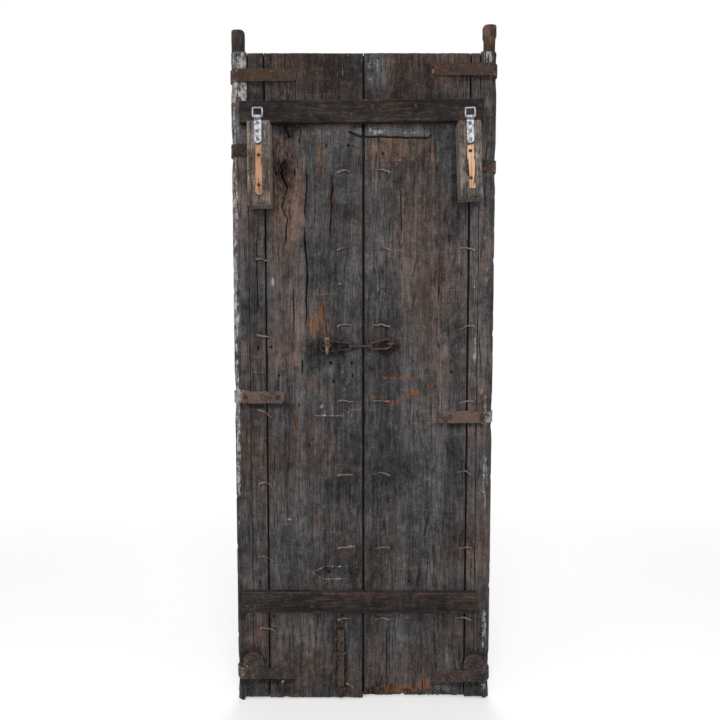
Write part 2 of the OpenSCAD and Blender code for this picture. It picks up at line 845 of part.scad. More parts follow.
module lock_staple() {
    color("#6b6a68") round_staple(-lock_x, lock_z, lock_eye_r, peg_out, staple_d);
}

module chain_staple() {
    color("#6b4a35")
        round_staple(chain_staple_x, chain_staple_z, chain_eye_r, link_out, staple_d);
}

module locking_peg() {
    seat = staple_r + peg_gap;
    soft = peg_head_d / 10;
    color("#a8865f") translate([-lock_x, face_y - peg_out, lock_z]) rotate_extrude()
        polygon([[0, -peg_down], [peg_tip_d / 2, -peg_down], [peg_d / 2, -seat - peg_d / 3],
                 [peg_d / 2, seat], [peg_head_d / 2, seat], [peg_head_d / 2, peg_up - soft],
                 [peg_head_d / 2 - soft, peg_up], [0, peg_up]]);
}

// Link of round rod, its big end at the origin and its small end along +x
module link_arc(r, from, sweep) {
    trim = knuckle_trim / r * 180 / PI;
    rotate(from + trim) rotate_extrude(angle = sweep - 2 * trim)
        translate([r, 0]) circle(d = link_d);
}

module pear_link(big_r, small_r, reach) {
    turn = acos((big_r - small_r) / reach);
    link_arc(big_r, turn, 360 - 2 * turn);
    translate([reach, 0, 0]) link_arc(small_r, -turn, 2 * turn);
    for (side = side_sign) {
        spoke = [cos(turn), side * sin(turn)];
        big_end = big_r * spoke;
        small_end = [reach, 0] + small_r * spoke;
        trim = (small_end - big_end) / norm(small_end - big_end) * knuckle_trim;
        wire_bar(big_end + trim, small_end - trim, link_d);
        for (p = [big_end, small_end]) translate([p[0], p[1], 0])
            rotate(side * (turn - 90)) rotate([0, 90, 0]) sphere(d = knuckle_d);
    }
}

module hasp_link() {
    color("#4f4038") on_face() translate([hasp_x, chain_z, link_out])
        pear_link(hasp_big_r, link_small_r, hasp_reach);
}

module middle_link() {
    color("#54453c") on_face() translate([joint_a_x, chain_z, link_out]) rotate([90, 0, 0])
        pear_link(middle_r, middle_r, middle_reach);
}

module end_link() {
    color("#4f4038") on_face() translate([end_big_x, chain_staple_z, link_out])
        rotate(180 + end_link_tilt) pear_link(end_big_r, link_small_r, end_reach);
}

// Drop bolt and the two staples it slides in
function bolt_staple_r(d) = bolt_w / 2 + bolt_gap + d / 2;

module drop_bolt() {
    soft = bolt_w / 6;
    color("#4e3d34") on_face() translate([-bolt_x, 0, 0]) plate(bolt_gap, bolt_gap + bolt_t)
        polygon([[-bolt_w / 2, bolt_foot + soft], [soft - bolt_w / 2, bolt_foot],
                 [bolt_w / 2 - soft, bolt_foot], [bolt_w / 2, bolt_foot + soft],
                 [bolt_w / 2, bolt_top], [-bolt_w / 2, bolt_top]]);
}

module bolt_staple(z, d) {
    half = bolt_staple_r(d);
    top = bolt_t + 2 * bolt_gap + d / 2;
    bend = d * 0.65;
    color("#6a5a4e") on_face() translate([-bolt_x, z, 0]) {
        for (side = side_sign) translate([side * half, 0, -prong_depth])
            cylinder(d = d, h = prong_depth + top - bend);
        translate([0, 0, top]) rotate([90, 0, 0])
            wire_bar([bend - half, 0], [half - bend, 0], d);
        for (turn = [0, 90]) translate([(half - bend) * (turn == 0 ? 1 : -1), 0, top - bend])
            rotate([90, 0, 0]) rotate(turn) rotate_extrude(angle = 90)
            translate([bend, 0]) circle(d = d);
    }
}

// Ledge across the hidden face of a leaf
module ledge(s, k) {
    length = post_in_x - ledge_post_gap - ledge_inner;
    half = ledge_h / 2;
    color("#4c4239") difference() {
        on_side(s) in_plan() translate([ledge_inner, leaf_t, ledge_z(k)])
            rotate([90, 0, 90]) linear_extrude(length)
            polygon([[0, -half], [ledge_t - ledge_chamfer, -half],
                     [ledge_t, ledge_chamfer - half], [ledge_t, half - ledge_chamfer],
                     [ledge_t - ledge_chamfer, half], [0, half]]);
        ledge_nail_bores(s);
    }
}

// Nail driven through from the hidden face, its tip bent over on this face
module clench_nail(d, angle, head_at) {
    out = elbow_swell * d / 2 + nail_fit;
    translate([0, 0, -head_at - nail_fit]) rotate([180, 0, 0])
        domed_nail(nail_head_d, nail_head_h, d, head_at + nail_fit + out);
    translate([0, 0, out]) sphere(d = d * elbow_swell);
    translate([0, 0, out]) rotate(angle) rotate([0, 90, 0])
        cylinder(d1 = d, d2 = nail_tip_d, h = nail_tip_len);
}

module ledge_nails(s) {
    color("#574a42") on_side(s) on_face() {
        for (k = [1 : ledge_rows]) for (p = ledge_nail_points(s, k))
            translate([p[0], p[1], 0])
                clench_nail(nail_d, 180 - tip_slant[k - 1], leaf_t + ledge_t);
        if (s == 0) translate(spike_at) clench_nail(spike_d, 180 - spike_angle, leaf_t);
    }
}

pivot_post(0);  // left_pivot_post
pivot_post(1);  // right_pivot_post
narrow_board(0);  // left_narrow_board
narrow_board(1);  // right_narrow_board
left_wide_board();
right_wide_board();
for (s = [0, 1]) for (k = [0 : 3])
    strap(s, k);
corner_plate(0);  // left_corner_plate
corner_plate(1);  // right_corner_plate
strap_nails(0);  // left_strap_nails
strap_nails(1);  // right_strap_nails
batten(0);  // upper_batten
batten(1);  // lower_batten
batten_nails();
hanging_block(0);  // left_hanging_block
hanging_block(1);  // right_hanging_block
block_screws();
hanger_strap(0);  // left_hanger_strap
hanger_strap(1);  // right_hanger_strap
hanger_ring(0);  // left_hanger_ring
hanger_ring(1);  // right_hanger_ring
hanger_screws();
lock_staple();
locking_peg();
hasp_link();
middle_link();
end_link();
chain_staple();
drop_bolt();
bolt_staple(upper_staple_z, upper_staple_d);  // upper_bolt_staple
bolt_staple(lower_staple_z, lower_staple_d);  // lower_bolt_staple
for (s = [0, 1]) for (k = [1 : ledge_rows])
    ledge(s, k);
ledge_nails(0);  // left_ledge_nails
ledge_nails(1);  // right_ledge_nails
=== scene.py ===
"""Looks of an old pair of plank shutters that two battens hold together as one hanging panel.

Lengths in the classes are millimetres on the panel: x across, z up from the lowest foot.
"""

from __future__ import annotations

import logging
import math
from dataclasses import dataclass, field
from enum import Enum
from typing import Iterable, Optional, Union

import bmesh
import bpy
from mathutils import Matrix, Vector, noise


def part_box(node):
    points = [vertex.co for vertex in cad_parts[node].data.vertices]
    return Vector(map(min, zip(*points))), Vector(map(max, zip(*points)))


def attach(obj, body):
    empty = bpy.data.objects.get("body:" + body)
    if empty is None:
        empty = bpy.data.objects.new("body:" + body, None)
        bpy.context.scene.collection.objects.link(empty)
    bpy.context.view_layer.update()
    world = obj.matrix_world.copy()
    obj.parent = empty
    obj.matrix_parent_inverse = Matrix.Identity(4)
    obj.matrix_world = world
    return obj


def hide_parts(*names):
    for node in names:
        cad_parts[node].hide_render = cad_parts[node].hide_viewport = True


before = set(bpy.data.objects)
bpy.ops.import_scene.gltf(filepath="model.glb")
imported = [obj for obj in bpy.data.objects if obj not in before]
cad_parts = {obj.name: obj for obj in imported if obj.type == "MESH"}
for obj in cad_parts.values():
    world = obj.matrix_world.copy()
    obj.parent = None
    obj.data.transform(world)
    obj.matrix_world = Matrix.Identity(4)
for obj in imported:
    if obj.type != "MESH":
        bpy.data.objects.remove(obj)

MM = 0.001
LEDGE_ROWS = 7
# Where the posts meet the narrow boards, and the height of their slanting feet
POST_INNER = 284.0
FOOT_H = 56.0
# A point of a block lies on its face below the first share of the depth and on its back above the second
ON_FACE = 0.001
ON_BACK = 0.999
LOG = logging.getLogger("shutter")
Colour = tuple[float, float, float]
Spot = tuple[float, float, float]
Point = tuple[float, float]


def ease(value: float, low: float, high: float) -> float:
    """Smooth step of value from 0 at low to 1 at high.

    Args:
        value: The value to ease.
        low: Where the step starts.
        high: Where the step ends.

    Returns:
        A share between 0 and 1.
    """
    t = min(1.0, max(0.0, (value - low) / (high - low)))
    return t * t * (3.0 - 2.0 * t)


def grain_noise(x: float, y: float, z: float) -> float:
    """Smooth noise from -1 to 1."""
    return noise.noise(Vector((x, y, z)))


def rounding(radius: float, away: float) -> float:
    """How far a rounded edge lies below the face at a distance from the edge."""
    return radius - math.sqrt(max(0.0, radius * radius - max(0.0, radius - away) ** 2))


def rubbed_rim(away: float) -> float:
    """How strongly an edge is rubbed at a distance from it."""
    return 1.0 - ease(away, 0.5, 5.0)


def box_mm(node: str) -> tuple[Vector, Vector]:
    """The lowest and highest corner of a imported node, in millimetres."""
    low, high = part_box(node)
    return low / MM, high / MM


FACE_Y = box_mm("left_wide_board")[0].y


class Wire:
    """A socket that takes part in Python arithmetic and adds Math nodes as it does."""

    def __init__(self, bench: "Bench", socket: Optional[bpy.types.NodeSocket]) -> None:
        """Keeps the bench and the socket."""
        self.bench = bench
        self.socket = socket

    def _math(self, operation: str, left: "Value", right: "Value") -> "Wire":
        """Adds one Math node."""
        return self.bench.add("ShaderNodeMath", {"operation": operation}, {0: left, 1: right})

    def __add__(self, other: "Value") -> "Wire":
        """Sum."""
        return self._math("ADD", self, other)

    __radd__ = __add__

    def __sub__(self, other: "Value") -> "Wire":
        """Difference."""
        return self._math("SUBTRACT", self, other)

    def __rsub__(self, other: "Value") -> "Wire":
        """Difference with a number in front."""
        return self._math("SUBTRACT", other, self)

    def __mul__(self, other: "Value") -> "Wire":
        """Product."""
        return self._math("MULTIPLY", self, other)

    __rmul__ = __mul__

    def step(self, low: float, high: float) -> "Wire":
        """Smooth step from 0 at low to 1 at high."""
        return self.bench.add(
            "ShaderNodeMapRange",
            {"interpolation_type": "SMOOTHSTEP"},
            {0: self, 1: low, 2: high, 3: 0.0, 4: 1.0},
        )


Value = Union[Wire, float]


class Bench:
    """Builds the node tree of one material or world."""

    def __init__(self, owner: Union[bpy.types.Material, bpy.types.World]) -> None:
        """Starts an empty tree.

        Args:
            owner: The material or world that the tree belongs to.
        """
        self.owner = owner
        owner.use_nodes = True
        self.tree = owner.node_tree
        self.tree.nodes.clear()

    def add(
        self,
        kind: str,
        settings: Optional[dict] = None,
        sockets: Optional[dict] = None,
        out: Union[int, str] = 0,
    ) -> Wire:
        """Adds one node.

        Args:
            kind: The node's type.
            settings: Its own settings, set first; stops are a colour ramp's.
            sockets: Values or wires for its inputs, by name or number.
            out: The output to return.

        Returns:
            The wire from that output.
        """
        node = self.tree.nodes.new(kind)
        for key, value in (settings or {}).items():
            if key == "stops":
                ramp = node.color_ramp
                while len(ramp.elements) < len(value):
                    ramp.elements.new(0.5)
                for element, (place, colour) in zip(ramp.elements, value):
                    element.position = place
                    element.color = (*colour, 1.0)
            else:
                setattr(node, key, value)
        for key, value in (sockets or {}).items():
            if isinstance(value, Wire):
                self.tree.links.new(value.socket, node.inputs[key])
            else:
                node.inputs[key].default_value = value
        return Wire(self, node.outputs[out] if node.outputs else None)

    def place(self, scale: Spot = (1.0, 1.0, 1.0), turn: float = 0.0) -> Wire:
        """Object coordinates, stretched by scale and turned across the face by an angle."""
        where = self.add("ShaderNodeTexCoord", out="Object")
        return self.add("ShaderNodeMapping", None,
                        {"Vector": where, "Rotation": (0.0, turn, 0.0), "Scale": scale})

    def noise(self, where: Wire, scale: float, detail: float, rough: float = 0.55) -> Wire:
        """Noise around 0.5 at those coordinates."""
        return self.add(
            "ShaderNodeTexNoise",
            None,
            {"Vector": where, "Scale": scale, "Detail": detail, "Roughness": rough},
        )

    def mix(self, factor: Value, first: Union[Wire, Colour], second: Union[Wire, Colour],
            blend: str = "MIX") -> Wire:
        """Mixes two colours.

        Args:
            factor: Share of the second colour.
            first: The colour at 0.
            second: The colour at 1.
            blend: How the two are mixed.

        Returns:
            The mixed colour.
        """
        def whole(colour: Union[Wire, Colour]) -> Union[Wire, tuple]:
            """A colour with its alpha, or the wire as it is."""
            return colour if isinstance(colour, Wire) else (*colour, 1.0)

        return self.add(
            "ShaderNodeMix",
            {"data_type": "RGBA", "blend_type": blend},
            {0: factor, 6: whole(first), 7: whole(second)},
            out=2,
        )

    def ramp(self, factor: Wire, stops: Iterable[tuple[float, Colour]]) -> Wire:
        """A colour ramp."""
        return self.add("ShaderNodeValToRGB", {"stops": list(stops)}, {"Fac": factor})

    def finish(self, colour: Union[Wire, Colour], roughness: Value, metallic: Value,
               height: Wire, depth: float, specular: float = 0.5) -> bpy.types.Material:
        """Closes the tree with one surface.

        Args:
            colour: Base colour.
            roughness: Roughness.
            metallic: Metallic share.
            height: Height for the bump.
            depth: Depth of the bump, in metres.
            specular: Specular level.

        Returns:
            The finished material.
        """
        normal = self.add("ShaderNodeBump", None,
                          {"Strength": 1.0, "Distance": depth, "Height": height})
        base = colour if isinstance(colour, Wire) else (*colour, 1.0)
        surface = self.add(
            "ShaderNodeBsdfPrincipled",
            None,
            {"Base Color": base, "Roughness": roughness, "Metallic": metallic,
             "Specular IOR Level": specular, "Normal": normal},
        )
        self.add("ShaderNodeOutputMaterial", None, {"Surface": surface})
        return self.owner


class Grain(Enum):
    """Which way the fibres of a piece run."""

    UP = (1.0, 1.0, 0.045)
    ACROSS = (0.045, 1.0, 1.0)


class Mask(Enum):
    """What can lie on the wood or change its tone."""

    PLASTER = 0
    BARE = 1
    RUST = 2
    DARK = 3
    LIGHT = 4
    # HAZE: silvered wood, partly a painted sheen near the meeting edges and on the round posts.
    HAZE = 5
    # CAVITY: painted shade in checks, cracks, pits, joints and hollows.
    CAVITY = 6
    EDGE = 7


# The wear layer also carries the DARK mask, with its painted shadows.
MASK_LAYERS = {"wear": tuple(Mask)[:4], "tone": tuple(Mask)[4:]}


def no_masks() -> list[float]:
    """The masks of a point that nothing lies on."""
    return [0.0] * len(Mask)


def lift_mask(masks: list[float], mask: Mask, value: float) -> None:
    """Raises one mask of a point to a value, where it lies lower."""
    masks[mask.value] = max(masks[mask.value], value)


class WoodBench(Bench):
    """A bench with the noises and masks that a wood finish is mixed from."""

    def __init__(self, owner: bpy.types.Material, grain: Grain) -> None:
        """Adds the noises, from coarse to fine, and reads the masks.

        Args:
            owner: The material.
            grain: Which way its fibres run.
        """
        super().__init__(owner)
        self.along = self.place(grain.value)
        plain = self.place()
        stretched = self.place(tuple(0.25 if share < 1.0 else 1.0 for share in grain.value))
        self.drift = self.noise(plain, 4.2, 3.0)
        self.cloud = self.noise(plain, 7.5, 6.0, 0.62)
        self.band = self.noise(self.along, 17.0, 2.0)
        self.figure = self.noise(stretched, 46.0, 3.0)
        self.grime = self.noise(plain, 52.0, 6.0, 0.7)
        self.mottle = self.noise(stretched, 95.0, 8.0, 0.74)
        self.streak = self.noise(self.along, 120.0, 6.0, 0.72)
        self.fleck = self.noise(plain, 300.0, 4.0, 0.72)
        self.fibre = self.noise(self.along, 330.0, 5.0, 0.62)
        self.hair = self.noise(self.along, 1150.0, 2.0)
        self.masks = self.read_masks()

    def read_masks(self) -> dict[Mask, Wire]:
        """Reads the eight masks that lie on the mesh.

        Returns:
            The wire of each mask.
        """
        masks = {}
        for layer, held in MASK_LAYERS.items():
            read = self.add("ShaderNodeAttribute", {"attribute_name": layer}, out="Color")
            parts = self.add("ShaderNodeSeparateColor", None, {"Color": read})
            outputs = [*parts.socket.node.outputs, read.socket.node.outputs["Alpha"]]
            for mask, output in zip(held, outputs):
                masks[mask] = Wire(self, output)
        return masks

    def checks(self, scale: float, width: float) -> Wire:
        """Thin drying checks along the grain.

        Args:
            scale: How close the checks lie.
            width: Their share of the room between them.

        Returns:
            1 on a check and 0 beside it.
        """
        distance = self.add("ShaderNodeTexVoronoi", {"feature": "DISTANCE_TO_EDGE"},
                            {"Vector": self.along, "Scale": scale, "Randomness": 1.0})
        return 1.0 - distance.step(0.0, width)


@dataclass(frozen=True)
class OldWood:
    """Weathered plank wood with grain, checks, grime, plaster and bare breaks."""

    name: str
    grain: Grain
    dark: Colour = (0.0088, 0.0078, 0.0075)
    middle: Colour = (0.0545, 0.049, 0.0478)
    light: Colour = (0.168, 0.149, 0.139)
    bare: Colour = (0.24, 0.1, 0.043)
    cold: Colour = (0.93, 0.99, 1.05)
    warmth: Colour = (1.3, 0.95, 0.78)
    # silver_and_sheen: grey of silvered wood, also used as a painted sheen.
    silver_and_sheen: Colour = (0.125, 0.128, 0.134)
    scratch: Colour = (0.22, 0.19, 0.17)
    old_rust: Colour = (0.07, 0.03, 0.018)
    new_rust: Colour = (0.28, 0.112, 0.05)
    dirty_lime: Colour = (0.17, 0.162, 0.155)
    clean_lime: Colour = (0.62, 0.605, 0.585)
    dust: Colour = (0.3, 0.285, 0.27)
    # hollow: colour of the painted shade in cracks, pits and joints.
    hollow: Colour = (0.004, 0.0035, 0.003)
    rough: float = 0.62
    sheen: float = 0.14
    bump: float = 0.0016
    scratches: float = 0.42
    scratch_turns: tuple[float, ...] = (0.25, -0.55)

    def material(self) -> bpy.types.Material:
        """Builds the node tree, from the bleached wood up to the painted shade of its splits.

        Returns:
            The finished material.
        """
        bench = WoodBench(bpy.data.materials.new(self.name), self.grain)
        masks = bench.masks
        wood = self.bleached(bench)
        # Silver haze: silvered wood, and near the meeting edges and on the round posts a painted sheen.
        haze_and_sheen = bench.mottle * 0.8 + bench.fleck * 0.6 + bench.streak * 0.3 + masks[Mask.HAZE] * 0.6
        haze_and_sheen = (haze_and_sheen - 1.12).step(0.0, 0.5)
        wood = bench.mix(haze_and_sheen * 0.62, wood, self.silver_and_sheen)
        worn = (masks[Mask.EDGE] * 0.5 + bench.fleck * 0.9 - 0.74).step(0.0, 0.22)
        wood = self.scratched(bench, bench.mix(worn * 0.6, wood, self.light))
        wood = self.torn(bench, self.rusted(bench, wood))
        lime = self.lime(bench)
        chalk = bench.ramp(bench.grime, [(0.36, self.dirty_lime), (0.66, self.clean_lime)])
        wood = bench.mix(lime * 0.88, wood, chalk)
        specks = (bench.fleck * 1.1 + bench.grime * 0.3 - 0.86).step(0.0, 0.14)
        wood = bench.mix(specks * 0.24, wood, self.dust)
        crack = bench.checks(120.0, 0.05) * bench.figure.step(0.5, 0.62)
        crack = crack + bench.checks(42.0, 0.03) * bench.cloud.step(0.46, 0.6)
        # Painted shade: checks, cracks, pits, joints and the other hollows of the CAVITY mask are darkened
        # to the hollow colour.
        cavity = (crack * 0.75 + masks[Mask.CAVITY]).step(0.05, 0.95)
        wood = bench.mix(cavity * 0.93, wood, self.hollow)
        rough = self.rough + bench.fibre * 0.24 + lime * 0.2 - haze_and_sheen * 0.1
        height = bench.fibre * 0.4 + bench.streak * 0.4 + bench.mottle * 0.7 + bench.fleck * 0.2
        return bench.finish(wood, rough, 0.0, height + lime * 0.35 - crack * 0.9, self.bump, self.sheen)

    def bleached(self, bench: WoodBench) -> Wire:
        """The wood's own tones, from dark hollows to bleached ridges, in cold and warm patches.

        Args:
            bench: The bench of this finish.

        Returns:
            The colour.
        """
        masks = bench.masks
        weights = ((bench.streak, 0.5), (bench.fibre, 0.72), (bench.cloud, 1.1), (bench.mottle, 0.95),
                   (bench.fleck, 0.95), (bench.hair, 0.3), (bench.grime, 0.75), (bench.band, 0.7))
        body = sum(((part - 0.5) * weight for part, weight in weights), 0.47)
        body = body + masks[Mask.LIGHT] * 0.2 - masks[Mask.DARK] * 0.42 + masks[Mask.EDGE] * 0.08
        wood = bench.ramp(body, [(0.1, self.dark), (0.46, self.middle), (0.95, self.light)])
        warm = 1.25 - bench.drift * 2.1 + (bench.grime - 0.5) * 0.8
        warm = warm + masks[Mask.LIGHT] * 0.5 + masks[Mask.RUST] * 0.9 - masks[Mask.HAZE] * 0.6
        return bench.mix(1.0, wood, bench.mix(warm.step(0.0, 1.0), self.cold, self.warmth), "MULTIPLY")

    def scratched(self, bench: WoodBench, wood: Wire) -> Wire:
        """Draws fine pale scratches across the grain.

        Args:
            bench: The bench of this finish.
            wood: The colour below them.

        Returns:
            The colour with its scratches.
        """
        across = (0.06, 1.0, 1.0) if self.grain is Grain.UP else (1.0, 1.0, 0.06)
        for turn in self.scratch_turns:
            line = bench.noise(bench.place(across, turn), 260.0, 2.0).step(0.66, 0.73)
            wood = bench.mix(line * bench.cloud.step(0.42, 0.6) * self.scratches, wood, self.scratch)
        return wood

    def rusted(self, bench: WoodBench, wood: Wire) -> Wire:
        """Soaks rust into the fibres where its mask lies.

        Args:
            bench: The bench of this finish.
            wood: The colour below it.

        Returns:
            The colour with its rust.
        """
        rusty = bench.masks[Mask.RUST] * 0.62 + bench.mottle * 0.75 + bench.fleck * 0.35
        rusty = (rusty - 0.98).step(0.0, 0.2) * (bench.fibre * 1.3 + bench.fleck * 0.9 - 0.88).step(0.0, 0.3)
        stain = bench.ramp(bench.fibre, [(0.36, self.old_rust), (0.62, self.new_rust)])
        return bench.mix(rusty * 0.85, wood, stain)

    def torn(self, bench: WoodBench, wood: Wire) -> Wire:
        """Lays bare the fresh wood of breaks and chisel cuts.

        Args:
            bench: The bench of this finish.
            wood: The colour below it.

        Returns:
            The colour with its bare wood.
        """
        fresh = bench.masks[Mask.BARE] * 0.85 + bench.fibre * 0.8 + bench.fleck * 0.5 + bench.grime * 0.4
        shades = [(stop, tuple(part * share for part in self.bare))
                  for stop, share in ((0.42, 0.15), (0.52, 0.72), (0.63, 1.0))]
        splinters = bench.ramp(bench.fibre * 0.6 + bench.mottle * 0.5, shades)
        return bench.mix((fresh - 1.3).step(0.0, 0.24), wood, splinters)

    @staticmethod
    def lime(bench: WoodBench) -> Wire:
        """Old plaster that holds on in specks.

        Args:
            bench: The bench of this finish.

        Returns:
            1 on the plaster and 0 beside it.
        """
        lime = bench.masks[Mask.PLASTER] * 0.66 + bench.fleck * 0.5 + bench.fibre * 0.6
        lime = (lime + bench.mottle * 0.4 + bench.grime * 0.3 - 1.3).step(0.0, 0.2)
        return lime * (bench.fibre * 1.3 + bench.fleck * 0.9 + bench.grime * 0.9 - 1.38).step(0.0, 0.22)


@dataclass(frozen=True)
class ForgedIron:
    """Hand-forged iron under old rust, with a share of lime dust towards the posts and pale edges of rubbed
    wear and painted highlight.
    """

    name: str
    scale: Colour = (0.0135, 0.0098, 0.0085)
    brown: Colour = (0.05, 0.0255, 0.018)
    orange: Colour = (0.15, 0.06, 0.026)
    # rubbed: pale rubbed iron, also the colour of the painted highlight on convex edges.
    rubbed: Colour = (0.15, 0.13, 0.118)
    lime: Colour = (0.4, 0.375, 0.35)
    lime_from: float = 0.27
    lime_to: float = 0.325
    rusting: float = 0.0
    dust: float = 0.0
    # edge: strength of the painted highlight on convex edges.
    edge: float = 0.5
    soft: float = 0.14

    def material(self) -> bpy.types.Material:
        """Builds the node tree.

        Returns:
            The finished material.
        """
        bench = Bench(bpy.data.materials.new(self.name))
        plain = bench.place()
        blotch = bench.noise(plain, 75.0, 6.0, 0.66)
        pit = bench.noise(plain, 430.0, 5.0, 0.7)
        crust = bench.noise(plain, 210.0, 5.0, 0.72)
        broad = bench.noise(plain, 18.0, 3.0)
        # Convex edges, from pointiness: they carry rust bloom, rubbed wear and a painted highlight.
        rim = bench.add("ShaderNodeNewGeometry", out="Pointiness").step(0.515, 0.56)
        rust = (blotch * 1.2 + crust * 0.9 + broad * 1.2 + (self.rusting - 1.67)).step(-0.12, 0.12)
        colour = bench.mix(rust, self.scale, self.brown)
        bloom = crust * 1.1 + blotch * 0.9 + broad * 0.5 + rim * 0.12 + (self.rusting - 1.32)
        bloom = bloom.step(0.0, self.soft)
        colour = bench.mix(bloom * 0.85, colour, self.orange)
        # Rubbed iron: worn pale patches, and on convex edges a painted highlight.
        wear_and_highlight = (1.0 - rust) * (pit * 1.0 + broad * 0.6 - 0.74).step(0.0, 0.2)
        wear_and_highlight = wear_and_highlight + rim * (pit * 0.8 + crust * 0.8 - 0.72).step(0.0, 0.25) * self.edge
        colour = bench.mix(wear_and_highlight * 0.6, colour, self.rubbed)
        where = bench.add("ShaderNodeSeparateXYZ", None, {0: plain})
        aside = bench.add("ShaderNodeMath", {"operation": "ABSOLUTE"}, {0: where})
        limed = aside.step(self.lime_from, self.lime_to) * self.dust
        chalk = (pit * 0.7 + crust * 0.6 + blotch * 0.8 + broad * 0.5 + limed - 1.58).step(0.0, 0.24)
        colour = bench.mix(chalk * 0.85, colour, self.lime)
        rough = 0.62 + rust * 0.24 - wear_and_highlight * 0.12
        height = pit * 0.7 + blotch * 0.7 + crust * 0.5 + bloom * 0.25
        return bench.finish(colour, rough, 0.0, height, 0.0012, 0.2)


@dataclass(frozen=True)
class ZincPlate:
    """Bright zinc on bought steel, with a little dulling."""

    name: str
    colour: Colour = (0.33, 0.35, 0.38)
    dull: Colour = (0.19, 0.2, 0.217)

    def material(self) -> bpy.types.Material:
        """Builds the node tree.

        Returns:
            The finished material.
        """
        bench = Bench(bpy.data.materials.new(self.name))
        spangle = bench.noise(bench.place(), 190.0, 4.0)
        scratch = bench.noise(bench.place((1.0, 1.0, 0.05)), 1600.0, 3.0)
        dulled = (spangle * 0.9 + scratch * 0.5 - 0.6).step(0.0, 0.26)
        colour = bench.mix(dulled * 0.85, self.colour, self.dull)
        rough = 0.4 + dulled * 0.25 + scratch * 0.12
        return bench.finish(colour, rough, 0.85, scratch * 0.5 + spangle * 0.5, 0.00012)


@dataclass(frozen=True)
class PegWood:
    """Whittled wood, brown from handling, darker with grime and in the hollows of its grooves."""

    name: str
    pale: Colour = (0.215, 0.128, 0.076)
    dirty: Colour = (0.028, 0.019, 0.014)

    def material(self) -> bpy.types.Material:
        """Builds the node tree.

        Returns:
            The finished material.
        """
        bench = Bench(bpy.data.materials.new(self.name))
        fibre = bench.noise(bench.place((1.0, 1.0, 0.08)), 700.0, 4.0, 0.6)
        grime = bench.noise(bench.place(), 160.0, 5.0, 0.65)
        # Darker in concave hollows, found from pointiness.
        hollow = 1.0 - bench.add("ShaderNodeNewGeometry", out="Pointiness").step(0.44, 0.5)
        dirt = (grime * 1.2 + fibre * 0.5 + hollow * 0.7 - 0.73).step(0.0, 0.3)
        colour = bench.mix(dirt, self.pale, self.dirty)
        return bench.finish(colour, 0.6 + dirt * 0.2, 0.0, fibre * 0.8 + grime * 0.4, 0.0005)


@dataclass(frozen=True)
class Stain:
    """A patch of one mask on the face: middle, half sizes and strength."""

    mask: Mask
    x: float
    z: float
    half_w: float
    half_h: float
    strength: float
    core: float = 0.45
    fringe: float = 1.35

    def at(self, x: float, z: float, ragged: float) -> float:
        """How strongly the stain lies at a point.

        Args:
            x: Place across.
            z: Height.
            ragged: Noise that frays the outline.

        Returns:
            A share between 0 and the stain's strength.
        """
        reach = math.hypot((x - self.x) / self.half_w, (z - self.z) / self.half_h)
        return self.strength * (1.0 - ease(reach + ragged, self.core, self.fringe))


@dataclass(frozen=True)
class Crack:
    """A split along the grain, from its top point to its foot."""

    points: tuple[Point, ...]
    width: float
    depth: float

    @property
    def column(self) -> float:
        """The mean place of the crack across the board."""
        return sum(p[0] for p in self.points) / len(self.points)

    def line(self, z: float) -> Optional[tuple[float, float]]:
        """Where the crack runs at a height.

        Args:
            z: Height.

        Returns:
            Its place across and its share of the full width, or None past its ends.
        """
        top, foot = self.points[0][1], self.points[-1][1]
        if not foot < z < top:
            return None
        share = (top - z) / (top - foot)
        taper = min(1.0, 6.0 * share, 6.0 * (1.0 - share))
        for (xa, za), (xb, zb) in zip(self.points, self.points[1:]):
            if zb <= z <= za:
                t = (za - z) / max(za - zb, 1e-6)
                return xa + (xb - xa) * t, taper
        return None


@dataclass(frozen=True)
class FineField:
    """A field of the face that is cut finer: middle, half sizes and number of cuts."""

    x: float
    z: float
    half_w: float
    half_h: float
    cuts: int = 2


@dataclass(frozen=True)
class Pit:
    """An old nail hole."""

    x: float
    z: float
    radius: float
    depth: float = 9.0
    reach: float = 6.0

    def rim(self) -> FineField:
        """The field around the hole that is cut finer."""
        return FineField(self.x, self.z, 5.5, 8.0, 3)


def stains(mask: Mask, rows: Iterable[tuple[float, float, float, float, float]]) -> list[Stain]:
    """A list of stains of one mask."""
    return [Stain(mask, *row) for row in rows]


